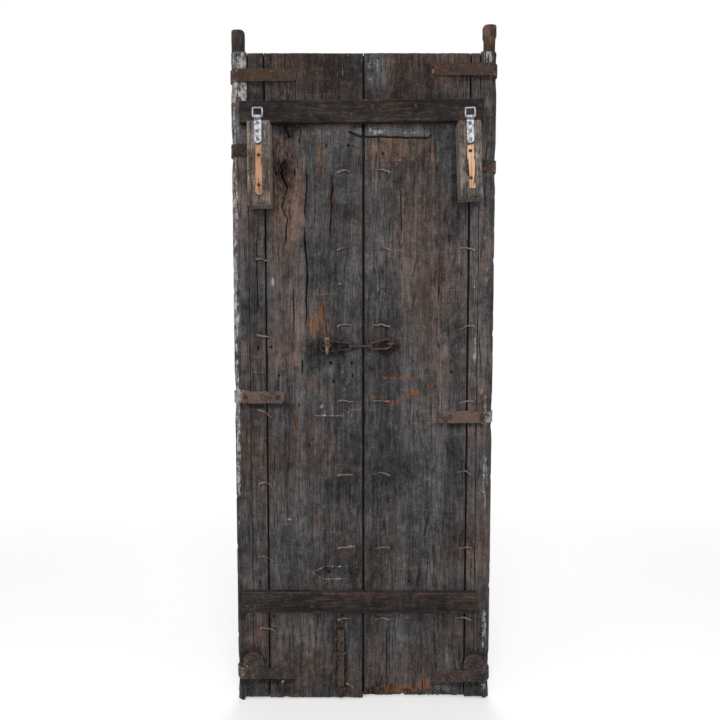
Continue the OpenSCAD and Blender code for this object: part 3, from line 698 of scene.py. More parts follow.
FACE_STAINS = (
    stains(Mask.PLASTER, [
        (-300, 1584, 19, 61, 1.0), (-310, 1612, 12, 33, 1.05), (-318, 1540, 12, 40, 1.1),
        (-295, 1540, 16, 36, 0.95), (-318, 1399, 7.5, 143, 1.0), (-317, 1266, 8, 121, 1.1),
        (-318, 1034, 7.5, 172, 1.1), (-318, 784, 7.5, 126, 1.1), (-318, 606, 7.5, 153, 1.1),
        (-309, 1130, 7, 300, 0.42), (-310, 700, 7, 260, 0.42), (-302, 1440, 12, 60, 0.6),
        (-315, 425, 8, 129, 0.45), (-313, 802, 10, 13, 1), (-318, 162, 8, 106, 0.35),
        (301, 1617, 19, 42, 0.8), (306, 1589, 15, 24, 0.9), (286, 1608, 10, 38, 0.5),
        (307, 1494, 12, 95, 0.45), (306, 1083, 10, 54, 0.65), (307, 754, 10, 56, 0.75),
        (298, 731, 10, 10, 1), (307, 580, 10, 87, 0.7), (291, 477, 10, 88, 0.35),
        (310, 188, 10, 64, 0.75), (273, 1071, 5, 22, 0.7), (168, 1586, 4, 7, 1),
        (-225, 1078, 4, 12, 1.1), (-59, 1071, 7, 4, 0.9), (-105, 766, 5, 12, 0.9),
        (-96, 752, 4, 9, 0.7), (-85, 743, 40, 2.6, 0.95), (-190, 477, 10, 4, 0.9),
        (92, 1373.5, 14, 2.6, 0.9), (306, 1376, 15, 4, 1.1), (307, 1345, 15, 4, 1),
        (232, 757, 35, 4, 0.6), (-298, 806, 20, 4, 0.8), (-208, 50, 10, 4, 0.9),
        (-138, 67, 16, 4, 0.75), (89, 23, 57, 4, 0.4), (-30, 408, 26, 4, 0.85),
        (-55, 1589, 10, 24, 0.55), (-36, 1619, 5, 9, 0.6), (-40, 760, 26, 30, 0.6),
        (40, 1046, 30, 26, 0.58), (24, 1590, 32, 40, 0.62), (277, 905, 4, 60, 0.8),
        (268, 1120, 3, 40, 0.5), (-45, 820, 30, 30, 0.5), (-252, 560, 3, 60, 0.5),
        (30, 1442, 26, 8, 0.85), (120, 1440, 30, 6, 0.7), (308, 60, 14, 50, 0.75),
        (-310, 40, 12, 36, 0.5), (290, 800, 12, 200, 0.55), (300, 1250, 10, 120, 0.6),
    ])
    # Haze patches: silvered wood, with a painted sheen near the meeting edges and along the round posts.
    + stains(Mask.HAZE, [
        (30, 1577, 34, 56, 0.75), (5, 1612, 19, 24, 0.8), (117, 1577, 63, 52, 0.3),
        (36, 1021, 32, 54, 0.75), (-44, 1034, 30, 98, 0.4), (-47, 884, 55, 55, 0.4),
        (-34, 733, 45, 101, 0.45), (21, 733, 35, 151, 0.3), (-58, 1411, 34, 34, 0.35),
        (65, 1242, 44, 73, 0.3), (-48, 334, 36, 37, 0.6), (-30, 162, 31, 64, 0.6),
        (-87, 28, 52, 21, 0.5), (59, 1451, 98, 12, 0.55), (143, 529, 66, 154, 0.25),
        (94, 188, 77, 79, 0.3), (-164, 162, 62, 64, 0.3), (292, 959, 15, 148, 0.5),
        (290, 529, 20, 154, 0.45), (298, 268, 20, 131, 0.45), (-291, 477, 25, 129, 0.35),
        (-292, 1034, 20, 98, 0.35), (268, 1080, 12, 200, 0.5),
    ])
    + stains(Mask.LIGHT, [
        (-186, 1254, 44, 82, 0.9), (-190, 1108, 50, 83, 0.7), (-194, 959, 45, 99, 0.45),
        (-276, 215, 36, 106, 0.4), (-277, 657, 20, 152, 0.35), (-162, 503, 66, 77, 0.3),
        (139, 1157, 74, 146, 0.35), (190, 959, 45, 148, 0.3), (283, 657, 18, 102, 0.4),
        (287, 347, 18, 104, 0.4), (-185, 1387, 39, 57, 0.3), (209, 268, 62, 79, 0.25),
        (66, 1399, 70, 28, 0.45), (290, 760, 34, 620, 0.78), (-262, 900, 24, 420, 0.3),
        (-294, 1020, 28, 520, 0.5), (160, 1592, 120, 60, 0.25), (-118, 1440, 28, 4, 1.0),
        (0, 120, 330, 120, 0.3), (290, 1300, 30, 160, 0.3),
    ])
    + stains(Mask.RUST, [
        (-197, 1399, 7, 29, 0.8), (-107, 1375, 10, 57, 0.8), (-78, 1266, 5, 68, 0.9),
        (-104, 989, 10, 47, 1), (-121, 972, 15, 30, 0.9), (-171, 932, 8, 10, 0.8),
        (-172, 879, 7, 8, 0.9), (-142, 822, 8, 25, 0.7), (-175, 728, 6, 51, 0.85),
        (-140, 728, 30, 8, 0.6), (66, 842, 45, 8, 0.75), (31, 789, 30, 6, 0.8),
        (71, 774, 23, 8, 0.9), (126, 802, 18, 13, 0.95), (164, 817, 10, 8, 0.8),
        (160, 944, 6, 10, 0.8), (6, 804, 8, 60, 0.6), (49, 1418, 34, 10, 0.7),
        (157, 1394, 12, 29, 0.8), (157, 1423, 20, 10, 0.6), (-111, 490, 8, 8, 0.9),
        (-154, 117, 8, 8, 0.8), (-136, 146, 13, 13, 0.6), (-58, 212, 12, 26, 0.75),
        (-56, 149, 16, 16, 0.7), (170, 1351, 24, 24, 0.4), (-84, 922, 25, 25, 0.5),
        (66, 922, 30, 25, 0.5), (114, 135, 8, 16, 0.6), (-47, 438, 8, 31, 0.3),
        (32, 135, 26, 37, 0.35), (-272, 1470, 10, 24, 0.35), (-156, 1355, 7, 48, 0.5),
        (-125, 1580, 150, 80, 0.5), (170, 1590, 130, 70, 0.46), (66, 1399, 68, 27, 0.42),
        (64, 1373.5, 66, 2.4, 1.1), (72, 1423, 62, 3.2, 1.0), (165, 1388, 14, 30, 0.72),
        (100, 838, 30, 6, 0.9), (60, 838, 40, 4, 0.95), (37, 789, 24, 4, 0.95),
        (80, 779, 22, 6, 0.95), (104, 789, 14, 6, 0.95), (116, 796, 12, 7, 0.95),
        (120, 1290, 90, 110, 0.26), (-190, 1300, 50, 150, 0.36), (-240, 640, 16, 200, 0.2),
        (-215, 1363, 10, 48, 0.5), (-301, 1518, 15, 33, 0.3), (-285, 784, 35, 20, 0.5),
        (267, 738, 40, 20, 0.4),
    ])
    + stains(Mask.BARE, [
        (94, 29, 88, 17, 0.72), (156, 44, 23, 24, 0.7), (32, 26, 31, 11, 0.6),
        (224, 23, 41, 11, 0.5), (263, 28, 16, 13, 0.5), (-165, 7, 73, 4, 0.7), (59, 1415, 11, 4, 0.7),
        (-209, 8, 21, 4, 0.6), (2, 733, 3, 76, 0.45), (253, 1157, 2, 97, 0.3),
        (317, 28, 13, 21, 0.4), (-279, 1, 21, 5, 0.4),
    ])
    # Dark patches: grime, rot and darker tone, with painted shade listed in the comments below.
    + stains(Mask.DARK, [
        # Lines below: (-70, 913), (52, 914) and (-125, 895) are grime with the painted shadow of the chain
        # around the lock; (-71, 162) is a painted shadow beside the drop bolt.
        (-187, 1446, 34, 19, 0.7), (-198, 1346, 24, 34, 0.8), (-70, 913, 40, 20, 0.6),
        (52, 914, 36, 20, 0.6), (-125, 895, 26, 40, 0.6), (-71, 162, 13, 95, 0.5), (-161, 606, 66, 87, 0.3),
        (93, 373, 102, 62, 0.25), (-269, 1527, 49, 12, 0.5), (-286, 82, 36, 37, 0.5),
        (-289, 28, 31, 24, 0.6), (276, 28, 31, 21, 0.4), (-165, 28, 104, 16, 0.3),
        (170, 268, 77, 16, 0.3), (41, 606, 101, 102, 0.25), (210, 1530, 39, 14, 0.4),
        # (-58.5, 130): painted shadow beside the drop bolt; the thin bands at z 51, 43, 1556, 1570, 770 and
        # 721: painted shadows below the iron straps; (-240, 1350) and (232, 1360): painted shadows beside
        # the hanging blocks.
        (-58.5, 130, 15, 118, 1.0), (-250, 51, 84, 11, 1.0), (255, 43, 78, 11, 1.0),
        (-286, 112, 38, 32, 0.85), (286, 108, 38, 32, 0.85), (-255, 1556, 78, 9, 0.9),
        (255, 1570, 78, 9, 0.9), (-250, 770, 74, 9, 0.9),
        (236, 721, 64, 9, 0.9), (-240, 1350, 26, 120, 0.5), (232, 1360, 22, 110, 0.5),
        # The patches at z 1580 and 1590 and the band at z 1528 make the tops of both leaves darker.
        (-125, 1580, 150, 80, 0.62), (180, 1590, 120, 70, 0.45), (0, 1528, 320, 18, 0.45),
    ])
)

FACE_CRACKS = (
    Crack(((-148, 1228), (-145, 1165), (-139, 1101), (-143, 1032), (-141, 988), (-151, 953)), 2.6, 11.0),
    Crack(((-140, 1352), (-139.6, 1309), (-141.8, 1282), (-144.4, 1261), (-148, 1232)), 1.8, 7.0),
    Crack(((-197, 1460), (-190, 1448), (-185, 1435), (-182, 1423)), 3.4, 9.0),
    Crack(((-151, 1450), (-156, 1433), (-159, 1409)), 2.0, 6.0),
    Crack(((-187, 1378), (-198, 1366), (-211, 1354)), 3.0, 8.0),
    Crack(((-211, 1354), (-202, 1340), (-197, 1325), (-188, 1310), (-191, 1297), (-185, 1285)), 3.0, 10.0),
    Crack(((-202, 1282), (-201.7, 1261), (-195, 1244), (-188, 1233), (-192, 1200), (-190, 1170)), 2.4, 8.0),
    Crack(((-84.5, 1337), (-76.5, 1320), (-75, 1303), (-81, 1282), (-79, 1261), (-84, 1180)), 2.0, 7.0),
    Crack(((-175.5, 1070), (-175, 1000), (-173.8, 933)), 1.4, 5.0),
    Crack(((-153, 886), (-154.5, 848)), 1.8, 6.0),
    Crack(((120, 640), (124, 500)), 1.2, 3.0),
    Crack(((190, 1180), (186, 1010)), 1.2, 3.0),
    Crack(((90, 1300), (94, 1190)), 1.2, 3.0),
    Crack(((-266, 1180), (-262, 1000)), 1.4, 4.0),
    Crack(((60, 190), (58, 60)), 1.2, 3.0),
    Crack(((-190, 190), (-186, 40)), 1.2, 3.0),
)

FACE_PITS = tuple(
    Pit(*row) for row in (
        (-91, 1410.6, 2.6), (-37.3, 1408.2, 2.6), (47, 1389, 2.4), (-82.4, 875.6, 2.8),
        (-29.2, 876, 2.5), (-28.2, 843.5, 3.2), (-75.8, 830.5, 2.4), (219.7, 853, 2.4),
        (298.6, 846.8, 2.4), (-263.8, 912, 3), (-231.3, 915.6, 2.4), (-211.9, 844, 2.4),
        (-89.7, 340, 2.6), (-29.7, 338.8, 2.6), (-19.4, 414.6, 2.6), (114.9, 315, 2.4),
        (-284, 223, 2.4), (-230, 223, 2.4), (-162.4, 768.7, 2.4),
    )
)

FACE_FIELDS = (
    FineField(-78, 339, 58, 20), FineField(66, 1440, 112, 26), FineField(-24, 1444, 24, 22),
    FineField(-85, 743, 46, 9), FineField(54, 1375, 60, 8), FineField(84, 806, 90, 52, 1),
    FineField(-190, 477, 16, 9), FineField(-196, 1330, 46, 105, 1), FineField(104, 32, 108, 28, 1),
    FineField(-112, 978, 34, 56, 1),
)


@dataclass
class Relief:
    """How one face of wood is worn: ridges, cracks, pits, scars and masks."""

    seed: float
    grain: Grain = Grain.UP
    ridge: float = 0.3
    wave: float = 0.9
    cracks: tuple[Crack, ...] = ()
    pits: tuple[Pit, ...] = ()
    marks: tuple[Stain, ...] = ()
    fields: tuple[FineField, ...] = ()
    band: float = 60.0
    spread: float = 1.4
    pull: float = 26.0
    flare: float = 1.6
    bands: dict[int, list[Stain]] = field(default_factory=dict)

    def __post_init__(self) -> None:
        """Sorts the stains into bands by height."""
        for stain in self.marks:
            reach = self.spread * stain.half_h
            low, high = int((stain.z - reach) // self.band), int((stain.z + reach) // self.band)
            for row in range(low, high + 1):
                self.bands.setdefault(row, []).append(stain)

    def warp(self, x: float, z: float) -> float:
        """Shift across the board that makes the columns follow the cracks.

        Args:
            x: Place across.
            z: Height.

        Returns:
            The shift.
        """
        shift = 0.0
        for crack in self.cracks:
            found = crack.line(z)
            if found is not None:
                near = (x - crack.column) / self.pull
                shift += (found[0] - crack.column) * found[1] * math.exp(-near * near)
        return shift

    def depth(self, column: float, x: float, z: float) -> tuple[float, float]:
        """Depth of wear and share of cavity at a point.

        Args:
            column: Place across before the columns follow the cracks.
            x: Place across.
            z: Height.

        Returns:
            The depth below the face and how much of it is painted dark as the shade of a cavity.
        """
        across, along = (x, z) if self.grain is Grain.UP else (z, x)
        ridge = grain_noise(across / 3.1, self.seed, along / 95.0)
        ridge += 0.6 * grain_noise(across / 7.5, self.seed + 9.0, along / 160.0)
        broad = grain_noise(across / 60.0, self.seed + 3.0, along / 210.0)
        deep = self.ridge * (1.0 + ridge) + self.wave * (0.6 + broad)
        cavity = 0.0
        for crack in self.cracks:
            found = crack.line(z)
            if found is None:
                continue
            jitter = 0.75 + 0.4 * grain_noise(z / 13.0, self.seed, crack.column)
            half = max(0.1, crack.width * found[1] * jitter / 2.0 + 0.35)
            off = abs(column - crack.column) / half
            if off < self.flare:
                share = 1.0 - ease(off, 0.35, self.flare)
                deep += crack.depth * share * found[1]
                cavity = max(cavity, share)
        for pit in self.pits:
            if abs(x - pit.x) < pit.reach and abs(z - pit.z) < pit.reach:
                share = 1.0 - ease(math.hypot(x - pit.x, z - pit.z) / pit.radius, 0.75, 1.25)
                deep += pit.depth * share
                cavity = max(cavity, share)
        return max(0.0, deep), cavity

    def masks(self, x: float, z: float) -> list[float]:
        """The eight masks at a point, from the stains.

        Args:
            x: Place across.
            z: Height.

        Returns:
            The strongest stain of each mask.
        """
        values = no_masks()
        found = self.bands.get(int(z // self.band))
        if not found:
            return values
        ragged = 0.45 * grain_noise(x / 9.0, self.seed + 5.0, z / 14.0)
        ragged += 0.25 * grain_noise(x / 3.5, self.seed + 7.0, z / 6.0)
        for stain in found:
            lift_mask(values, stain.mask, stain.at(x, z, ragged))
        return values


def link_piece(mesh: bpy.types.Mesh, finish: bpy.types.Material, sharp: float) -> bpy.types.Object:
    """Shades a mesh, gives it its finish and links it to the scene.

    Args:
        mesh: The mesh, in metres.
        finish: Its material.
        sharp: Angle in degrees past which an edge stays sharp.

    Returns:
        The linked object.
    """
    mesh.polygons.foreach_set("use_smooth", [True] * len(mesh.polygons))
    mesh.set_sharp_from_angle(angle=math.radians(sharp))
    mesh.materials.append(finish)
    piece = bpy.data.objects.new(mesh.name, mesh)
    bpy.context.scene.collection.objects.link(piece)
    LOG.info("%s: %d faces", piece.name, len(mesh.polygons))
    return piece


@dataclass
class Plank:
    """One piece of wood, cut as a fine block and then worn to its shape."""

    node: str
    finish: bpy.types.Material
    slot: str
    front: Relief
    back: Relief
    column: float = 2.2
    row: float = 5.0
    side_rows: int = 7
    soft: float = 2.4
    sharp: float = 55.0
    wobble: float = 0.5
    inset: float = 0.1
    foot_run: float = 45.0
    top_run: float = 30.0
    end_rows: float = 3.0
    crowding: float = 1.7
    low: Vector = field(default_factory=Vector)
    high: Vector = field(default_factory=Vector)

    def __post_init__(self) -> None:
        """Takes the piece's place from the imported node."""
        self.low, self.high = box_mm(self.node)

    @property
    def is_left(self) -> bool:
        """Whether the piece stands on the left."""
        return self.node.startswith("left")

    def blank(self) -> bmesh.types.BMesh:
        """Cuts the fine block, with every side from 0 to 1.

        Returns:
            The block.
        """
        size = self.high - self.low
        bm = bmesh.new()
        bmesh.ops.create_grid(bm, x_segments=max(2, round(size.x / self.column)),
                              y_segments=max(2, round(size.z / self.row)), size=0.5)
        bmesh.ops.rotate(bm, verts=bm.verts[:], matrix=Matrix.Rotation(math.pi / 2, 3, "X"))
        bmesh.ops.translate(bm, verts=bm.verts[:], vec=(0.5, 0.0, 0.5))
        made = bmesh.ops.extrude_face_region(bm, geom=bm.faces[:], use_keep_orig=True)
        moved = [g for g in made["geom"] if isinstance(g, bmesh.types.BMVert)]
        bmesh.ops.translate(bm, verts=moved, vec=(0.0, 1.0, 0.0))
        rails = [e for e in bm.edges if abs(e.verts[0].co.y - e.verts[1].co.y) > 0.5]
        bmesh.ops.subdivide_edges(bm, edges=rails, cuts=self.side_rows, use_grid_fill=True)
        for pit in self.front.pits:
            self.refine(bm, pit.rim())
        for place in self.front.fields:
            self.refine(bm, place)
        bmesh.ops.recalc_face_normals(bm, faces=bm.faces[:])
        return bm

    def refine(self, bm: bmesh.types.BMesh, place: FineField) -> None:
        """Cuts one field of the face finer.

        Args:
            bm: The fine block.
            place: The field.
        """
        size = self.high - self.low
        u, w = (place.x - self.low.x) / size.x, (place.z - self.low.z) / size.z
        reach_u, reach_w = place.half_w / size.x, place.half_h / size.z
        near = [e for e in bm.edges
                if all(v.co.y < ON_FACE and abs(v.co.x - u) < reach_u and abs(v.co.z - w) < reach_w
                       for v in e.verts)]
        if near:
            bmesh.ops.subdivide_edges(bm, edges=near, cuts=place.cuts, use_grid_fill=True)

    def level(self, w: float) -> float:
        """Height of a row, with the rows closer together near both ends.

        Args:
            w: Share of the height.

        Returns:
            The height.
        """
        tall = self.high.z - self.low.z
        lead = self.end_rows * self.row / tall
        if w < lead:
            w = lead * (w / lead) ** self.crowding
        elif w > 1.0 - lead:
            w = 1.0 - lead * ((1.0 - w) / lead) ** self.crowding
        return self.low.z + w * tall

    def span(self, z: float, d: float) -> tuple[float, float]:
        """The edges of the piece at a height and a share of the depth."""
        return self.low.x, self.high.x

    def ends(self, x: float) -> tuple[float, float]:
        """How far the lower and the upper end stand in at a place across."""
        return (0.8 + 0.8 * grain_noise(x / 6.0, self.front.seed, 1.0),
                0.4 + 0.4 * grain_noise(x / 5.0, self.front.seed, 9.0))

    def extra(self, x: float, z: float, masks: list[float]) -> float:
        """Further depth on the face that only this piece has."""
        return 0.0

    def joint(self, x: float, z: float) -> float:
        """How far the painted shade of a joint reaches onto the face."""
        return 2.6 + 0.9 * grain_noise(self.front.seed, z / 19.0, math.copysign(5.0, x))

    def place(self, u: float, d: float, w: float) -> tuple[Vector, list[float]]:
        """Puts a point of the fine block where it lies on the worn piece.

        Args:
            u: Share across.
            d: Share of the depth, 0 on the face.
            w: Share of the height.

        Returns:
            The point and its masks.
        """
        z = self.level(w)
        left, right = self.span(z, d)
        wobble = self.wobble * grain_noise(self.front.seed, z / 22.0, d * 2.0)
        column = left + u * (right - left)
        side = min(column - left, right - column)
        x = column + wobble * (1.0 - ease(side, 0.0, 12.0))
        x += self.front.warp(column, z) * ease(side, 4.0, 30.0) * (1.0 - d)
        lift, drop = self.ends(x)
        base, top = self.low.z, self.high.z
        raised = lift * (1.0 - ease(z - base, 0.0, self.foot_run))
        z += raised - drop * (1.0 - ease(top - z, 0.0, self.top_run))
        end = min(z - base - lift, top - drop - z)
        rim = min(side, max(end, 0.0))
        curve = self.soft * (1.0 + 0.45 * grain_noise(z / 17.0, self.front.seed, x / 17.0))
        bevel = rounding(curve, rim)
        if d < ON_FACE:
            deep, cavity = self.front.depth(column, x, z)
            masks = self.front.masks(x, z)
            deep += self.extra(x, z, masks) + bevel
            y = self.low.y + max(0.0, deep)
            # Painted shade along the joints between the boards.
            joint = 0.95 * (1.0 - ease(side, 0.4, self.joint(x, z)))
            lift_mask(masks, Mask.CAVITY, max(cavity, joint))
            lift_mask(masks, Mask.EDGE, rubbed_rim(rim))
        elif d > ON_BACK:
            masks = no_masks()
            deep, cavity = self.back.depth(column, x, z)
            y = self.high.y - deep - bevel
            masks[Mask.CAVITY.value] = cavity
            masks[Mask.EDGE.value] = rubbed_rim(rim)
        else:
            room = self.high.y - self.low.y
            y = self.low.y + room * (self.inset + (1.0 - 2.0 * self.inset) * d)
            masks = self.front.masks(x, z)
            lift_mask(masks, Mask.DARK, 0.25)
        return Vector((x, y, z)), masks

    def build(self) -> bpy.types.Object:
        """Makes the piece and dresses it.

        Returns:
            The finished object.
        """
        bm = self.blank()
        masks = []
        for vert in bm.verts:
            point, values = self.place(*vert.co)
            vert.co = point * MM
            masks.append(values)
        mesh = bpy.data.meshes.new(self.node + "_worn")
        bm.to_mesh(mesh)
        bm.free()
        for layer, held in MASK_LAYERS.items():
            first, last = held[0].value, held[-1].value
            attribute = mesh.attributes.new(layer, "FLOAT_COLOR", "POINT")
            attribute.data.foreach_set("color", [v for row in masks for v in row[first:last + 1]])
        piece = link_piece(mesh, self.finish, self.sharp)
        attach(piece, "panel")
        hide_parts(self.node)
        return piece


def board_swelling(z: float) -> float:
    """How far the edges of the boards swell towards both ends."""
    return 1.25 * (ease(z, 1590.0, 1622.0) + 1.0 - ease(z, 12.0, 40.0))


@dataclass
class WideBoard(Plank):
    """A wide board with its rebated meeting edge, ragged foot, scars and rot."""

    row: float = 5.8
    lip: float = 13.7
    lip_gap: float = 1.7
    lap: float = 0.53
    meeting: float = 1.5
    rot_x: float = -195.0
    rot_z: float = 1330.0
    rot_half_w: float = 40.0
    rot_half_h: float = 118.0
    mark_tip: float = -129.0
    mark_end: float = -7.0
    mark_z: float = 338.0
    mark_half: float = 15.0
    mark_point: float = 27.0
    track_x: float = -58.0
    track_half: float = 8.5
    track_foot: float = 190.0
    track_top: float = 239.0
    break_x: float = 60.0
    break_h: float = 26.0
    bar_z: float = 1441.5
    bar_fall: float = 0.038
    bar_half: float = 11.0

    def span(self, z: float, d: float) -> tuple[float, float]:
        """The edges, with the lip of the left board behind the right one.

        Args:
            z: Height.
            d: Share of the depth, 0 on the face.

        Returns:
            The left and the right edge.
        """
        tight = board_swelling(z)
        if self.is_left:
            inner = self.high.x - self.lip + self.meeting * tight
            return self.low.x - tight, self.high.x if d > self.lap else inner
        inner = self.lip - self.lip_gap if d > self.lap else -self.meeting * tight
        return self.low.x + inner, self.high.x + tight

    def ends(self, x: float) -> tuple[float, float]:
        """A ragged foot and a nearly straight top.

        Args:
            x: Place across.

        Returns:
            How far the foot and the top stand in.
        """
        jag = abs(grain_noise(x / 7.0, self.front.seed, 3.0))
        tooth = max(0.0, grain_noise(x / 19.0, self.front.seed + 2.0, 6.0))
        top = 0.2 + 0.8 * jag
        if self.is_left:
            return -1.5 + 2.6 * jag + 2.6 * tooth, top
        return 0.4 + 3.5 * jag + 6.0 * tooth, top

    def extra(self, x: float, z: float, masks: list[float]) -> float:
        """Rot, scars of lost fittings and the broken foot.

        Args:
            x: Place across.
            z: Height.
            masks: The masks of the point, which are changed.

        Returns:
            The further depth.
        """
        if self.is_left:
            deep = self.rot(x, z, masks) + self.plate_mark(x, z, masks) + self.bolt_track(x, z)
        else:
            deep = self.broken_foot(x, z, masks)
        return deep + self.bar_mark(x, z, masks)

    def rot(self, x: float, z: float, masks: list[float]) -> float:
        """The torn and rotten patch beside the left hanging block.

        Args:
            x: Place across.
            z: Height.
            masks: The masks of the point, which are changed.

        Returns:
            The depth of the rot.
        """
        rot = math.hypot((x - self.rot_x) / self.rot_half_w, (z - self.rot_z) / self.rot_half_h)
        rot = 1.0 - ease(rot + 0.5 * grain_noise(x / 8.0, 2.0, z / 22.0), 0.5, 1.25)
        if rot <= 0.0:
            return 0.0
        torn = grain_noise(x / 6.0, 4.0, z / 15.0) + 0.7 * grain_noise(x / 3.0, 8.0, z / 8.0)
        torn += 0.4 * grain_noise(x / 1.7, 5.0, z / 4.0)
        # The deep parts of the rot are painted dark as shade.
        masks[Mask.CAVITY.value] = 0.92 * rot * ease(torn, 0.3, 0.7)
        lift_mask(masks, Mask.LIGHT, 0.9 * rot * ease(torn, 0.5, -0.3))
        masks[Mask.BARE.value] = 0.5 * rot * ease(torn, 0.0, -0.6)
        return rot * (2.4 + 4.2 * max(-0.5, torn))

    def plate_mark(self, x: float, z: float, masks: list[float]) -> float:
        """The pointed mark that an old plate left above the lower batten.

        Args:
            x: Place across.
            z: Height.
            masks: The masks of the point, which are changed.

        Returns:
            The depth of the mark.
        """
        if x < self.mark_tip:
            return 0.0
        half = self.mark_half * min(1.0, (x - self.mark_tip) / self.mark_point)
        away = min(half - abs(z - self.mark_z), self.mark_end - x)
        faded = 1.0 - 0.55 * ease(x, -70.0, -20.0) + 0.3 * grain_noise(x / 7.0, 6.0, z / 7.0)
        inside = ease(away, 0.0, 2.0)
        lift_mask(masks, Mask.DARK, 0.2 * inside)
        lift_mask(masks, Mask.PLASTER, 0.98 * faded * (1.0 - ease(abs(away + 0.8), 0.6, 2.6)))
        return 0.9 * inside

    def bolt_track(self, x: float, z: float) -> float:
        """The hollow that the drop bolt has rubbed above its upper staple.

        Args:
            x: Place across.
            z: Height.

        Returns:
            The depth of the hollow.
        """
        track = 1.0 - ease(abs(x - self.track_x) / self.track_half, 0.8, 1.1)
        track *= ease(z, self.track_foot - 2.0, self.track_foot + 2.0)
        return 1.2 * track * (1.0 - ease(z, self.track_top - 3.0, self.track_top + 3.0))

    def broken_foot(self, x: float, z: float, masks: list[float]) -> float:
        """The foot of the right board, snapped off to bare splinters with painted shade between them.

        Args:
            x: Place across.
            z: Height.
            masks: The masks of the point, which are changed.

        Returns:
            The depth of the break.
        """
        broken = self.break_h - 0.1 * abs(x - self.break_x) + 9.0 * grain_noise(x / 16.0, 5.0, 2.0)
        snapped = 1.0 - ease(z - 10.0, broken - 5.0, broken + 3.0)
        snapped *= 1.0 - ease(x, 200.0, 250.0)
        fray = grain_noise(x / 3.4, 1.0, z / 16.0)
        # Painted shade between the splinters.
        lift_mask(masks, Mask.CAVITY, snapped * ease(fray, 0.25, 0.6))
        return snapped * max(0.0, 5.0 + 4.5 * fray)

    def bar_mark(self, x: float, z: float, masks: list[float]) -> float:
        """The long scar under the upper batten, with a painted shadow along its lower rim and a painted
        highlight along its upper rim.

        Args:
            x: Place across.
            z: Height.
            masks: The masks of the point, which are changed.

        Returns:
            The depth of the scar.
        """
        line = self.bar_z - self.bar_fall * x + 1.6 * grain_noise(x / 30.0, 3.0, 3.0)
        half = self.bar_half - 0.02 * max(0.0, x)
        half *= ease(x, -42.0, -6.0) * (1.0 - ease(x, 158.0, 166.0))
        if half < 0.3:
            return 0.0
        away = half - abs(z - line)
        rim = 1.0 - ease(abs(away + 0.8), 0.8, 2.8)
        # The lower rim is a groove with a painted shadow; the upper rim is a painted highlight.
        under, above = (0.95 * rim, 0.0) if z < line else (0.95 * 0.3 * rim, rim)
        inside = ease(away, 0.0, 3.0)
        masks[Mask.DARK.value] = max(masks[Mask.DARK.value] * (1.0 - inside), under)
        lift_mask(masks, Mask.CAVITY, 0.7 * under)
        lift_mask(masks, Mask.HAZE, 1.05 * inside)
        lift_mask(masks, Mask.EDGE, 1.1 * above)
        return 3.0 * under - 0.8 * inside


@dataclass
class NarrowBoard(Plank):
    """A narrow board beside a post, cut to the post's slanting foot."""

    post: float = POST_INNER
    right_rise: float = 6.0
    foot: float = FOOT_H
    foot_gap: float = 0.3
    foot_swell: float = 1.9
    slant: float = 24.0
    opening: float = 1.6
    opening_h: float = 120.0
    tongue: float = 2.8
    tongue_from: float = 0.56
    tongue_to: float = 0.95

    def span(self, z: float, d: float) -> tuple[float, float]:
        """The edges, following the slanting foot, open on the face and closed by a tongue behind it.

        Args:
            z: Height.
            d: Share of the depth, 0 on the face.

        Returns:
            The left and the right edge.
        """
        rise = 0.0 if self.is_left else self.right_rise
        inside = self.tongue_from < d < self.tongue_to
        tongue = self.tongue - board_swelling(z) if inside else 0.0
        opening = 0.0 if inside else self.opening
        outer = self.post - opening * ease(z, self.high.z - self.opening_h, self.high.z)
        if z < rise + self.foot:
            outer += self.slant * (1.0 - (z - rise) / self.foot) - self.foot_gap
        outer += self.foot_swell * (1.0 - ease(z - self.low.z, 0.0, self.foot_run))
        if self.is_left:
            return -outer, self.high.x + tongue
        return self.low.x - tongue, outer

    def ends(self, x: float) -> tuple[float, float]:
        """A foot that reaches a little below its own line and an uneven top."""
        lift, drop = super().ends(x)
        return lift - (4.5 if self.is_left else 3.0), drop

    def joint(self, x: float, z: float) -> float:
        """A joint whose painted shade reaches further beside the top left board, where it gapes."""
        return super().joint(x, z) + (2.6 * ease(z, 1470.0, 1540.0) if x < 0.0 else 0.0)


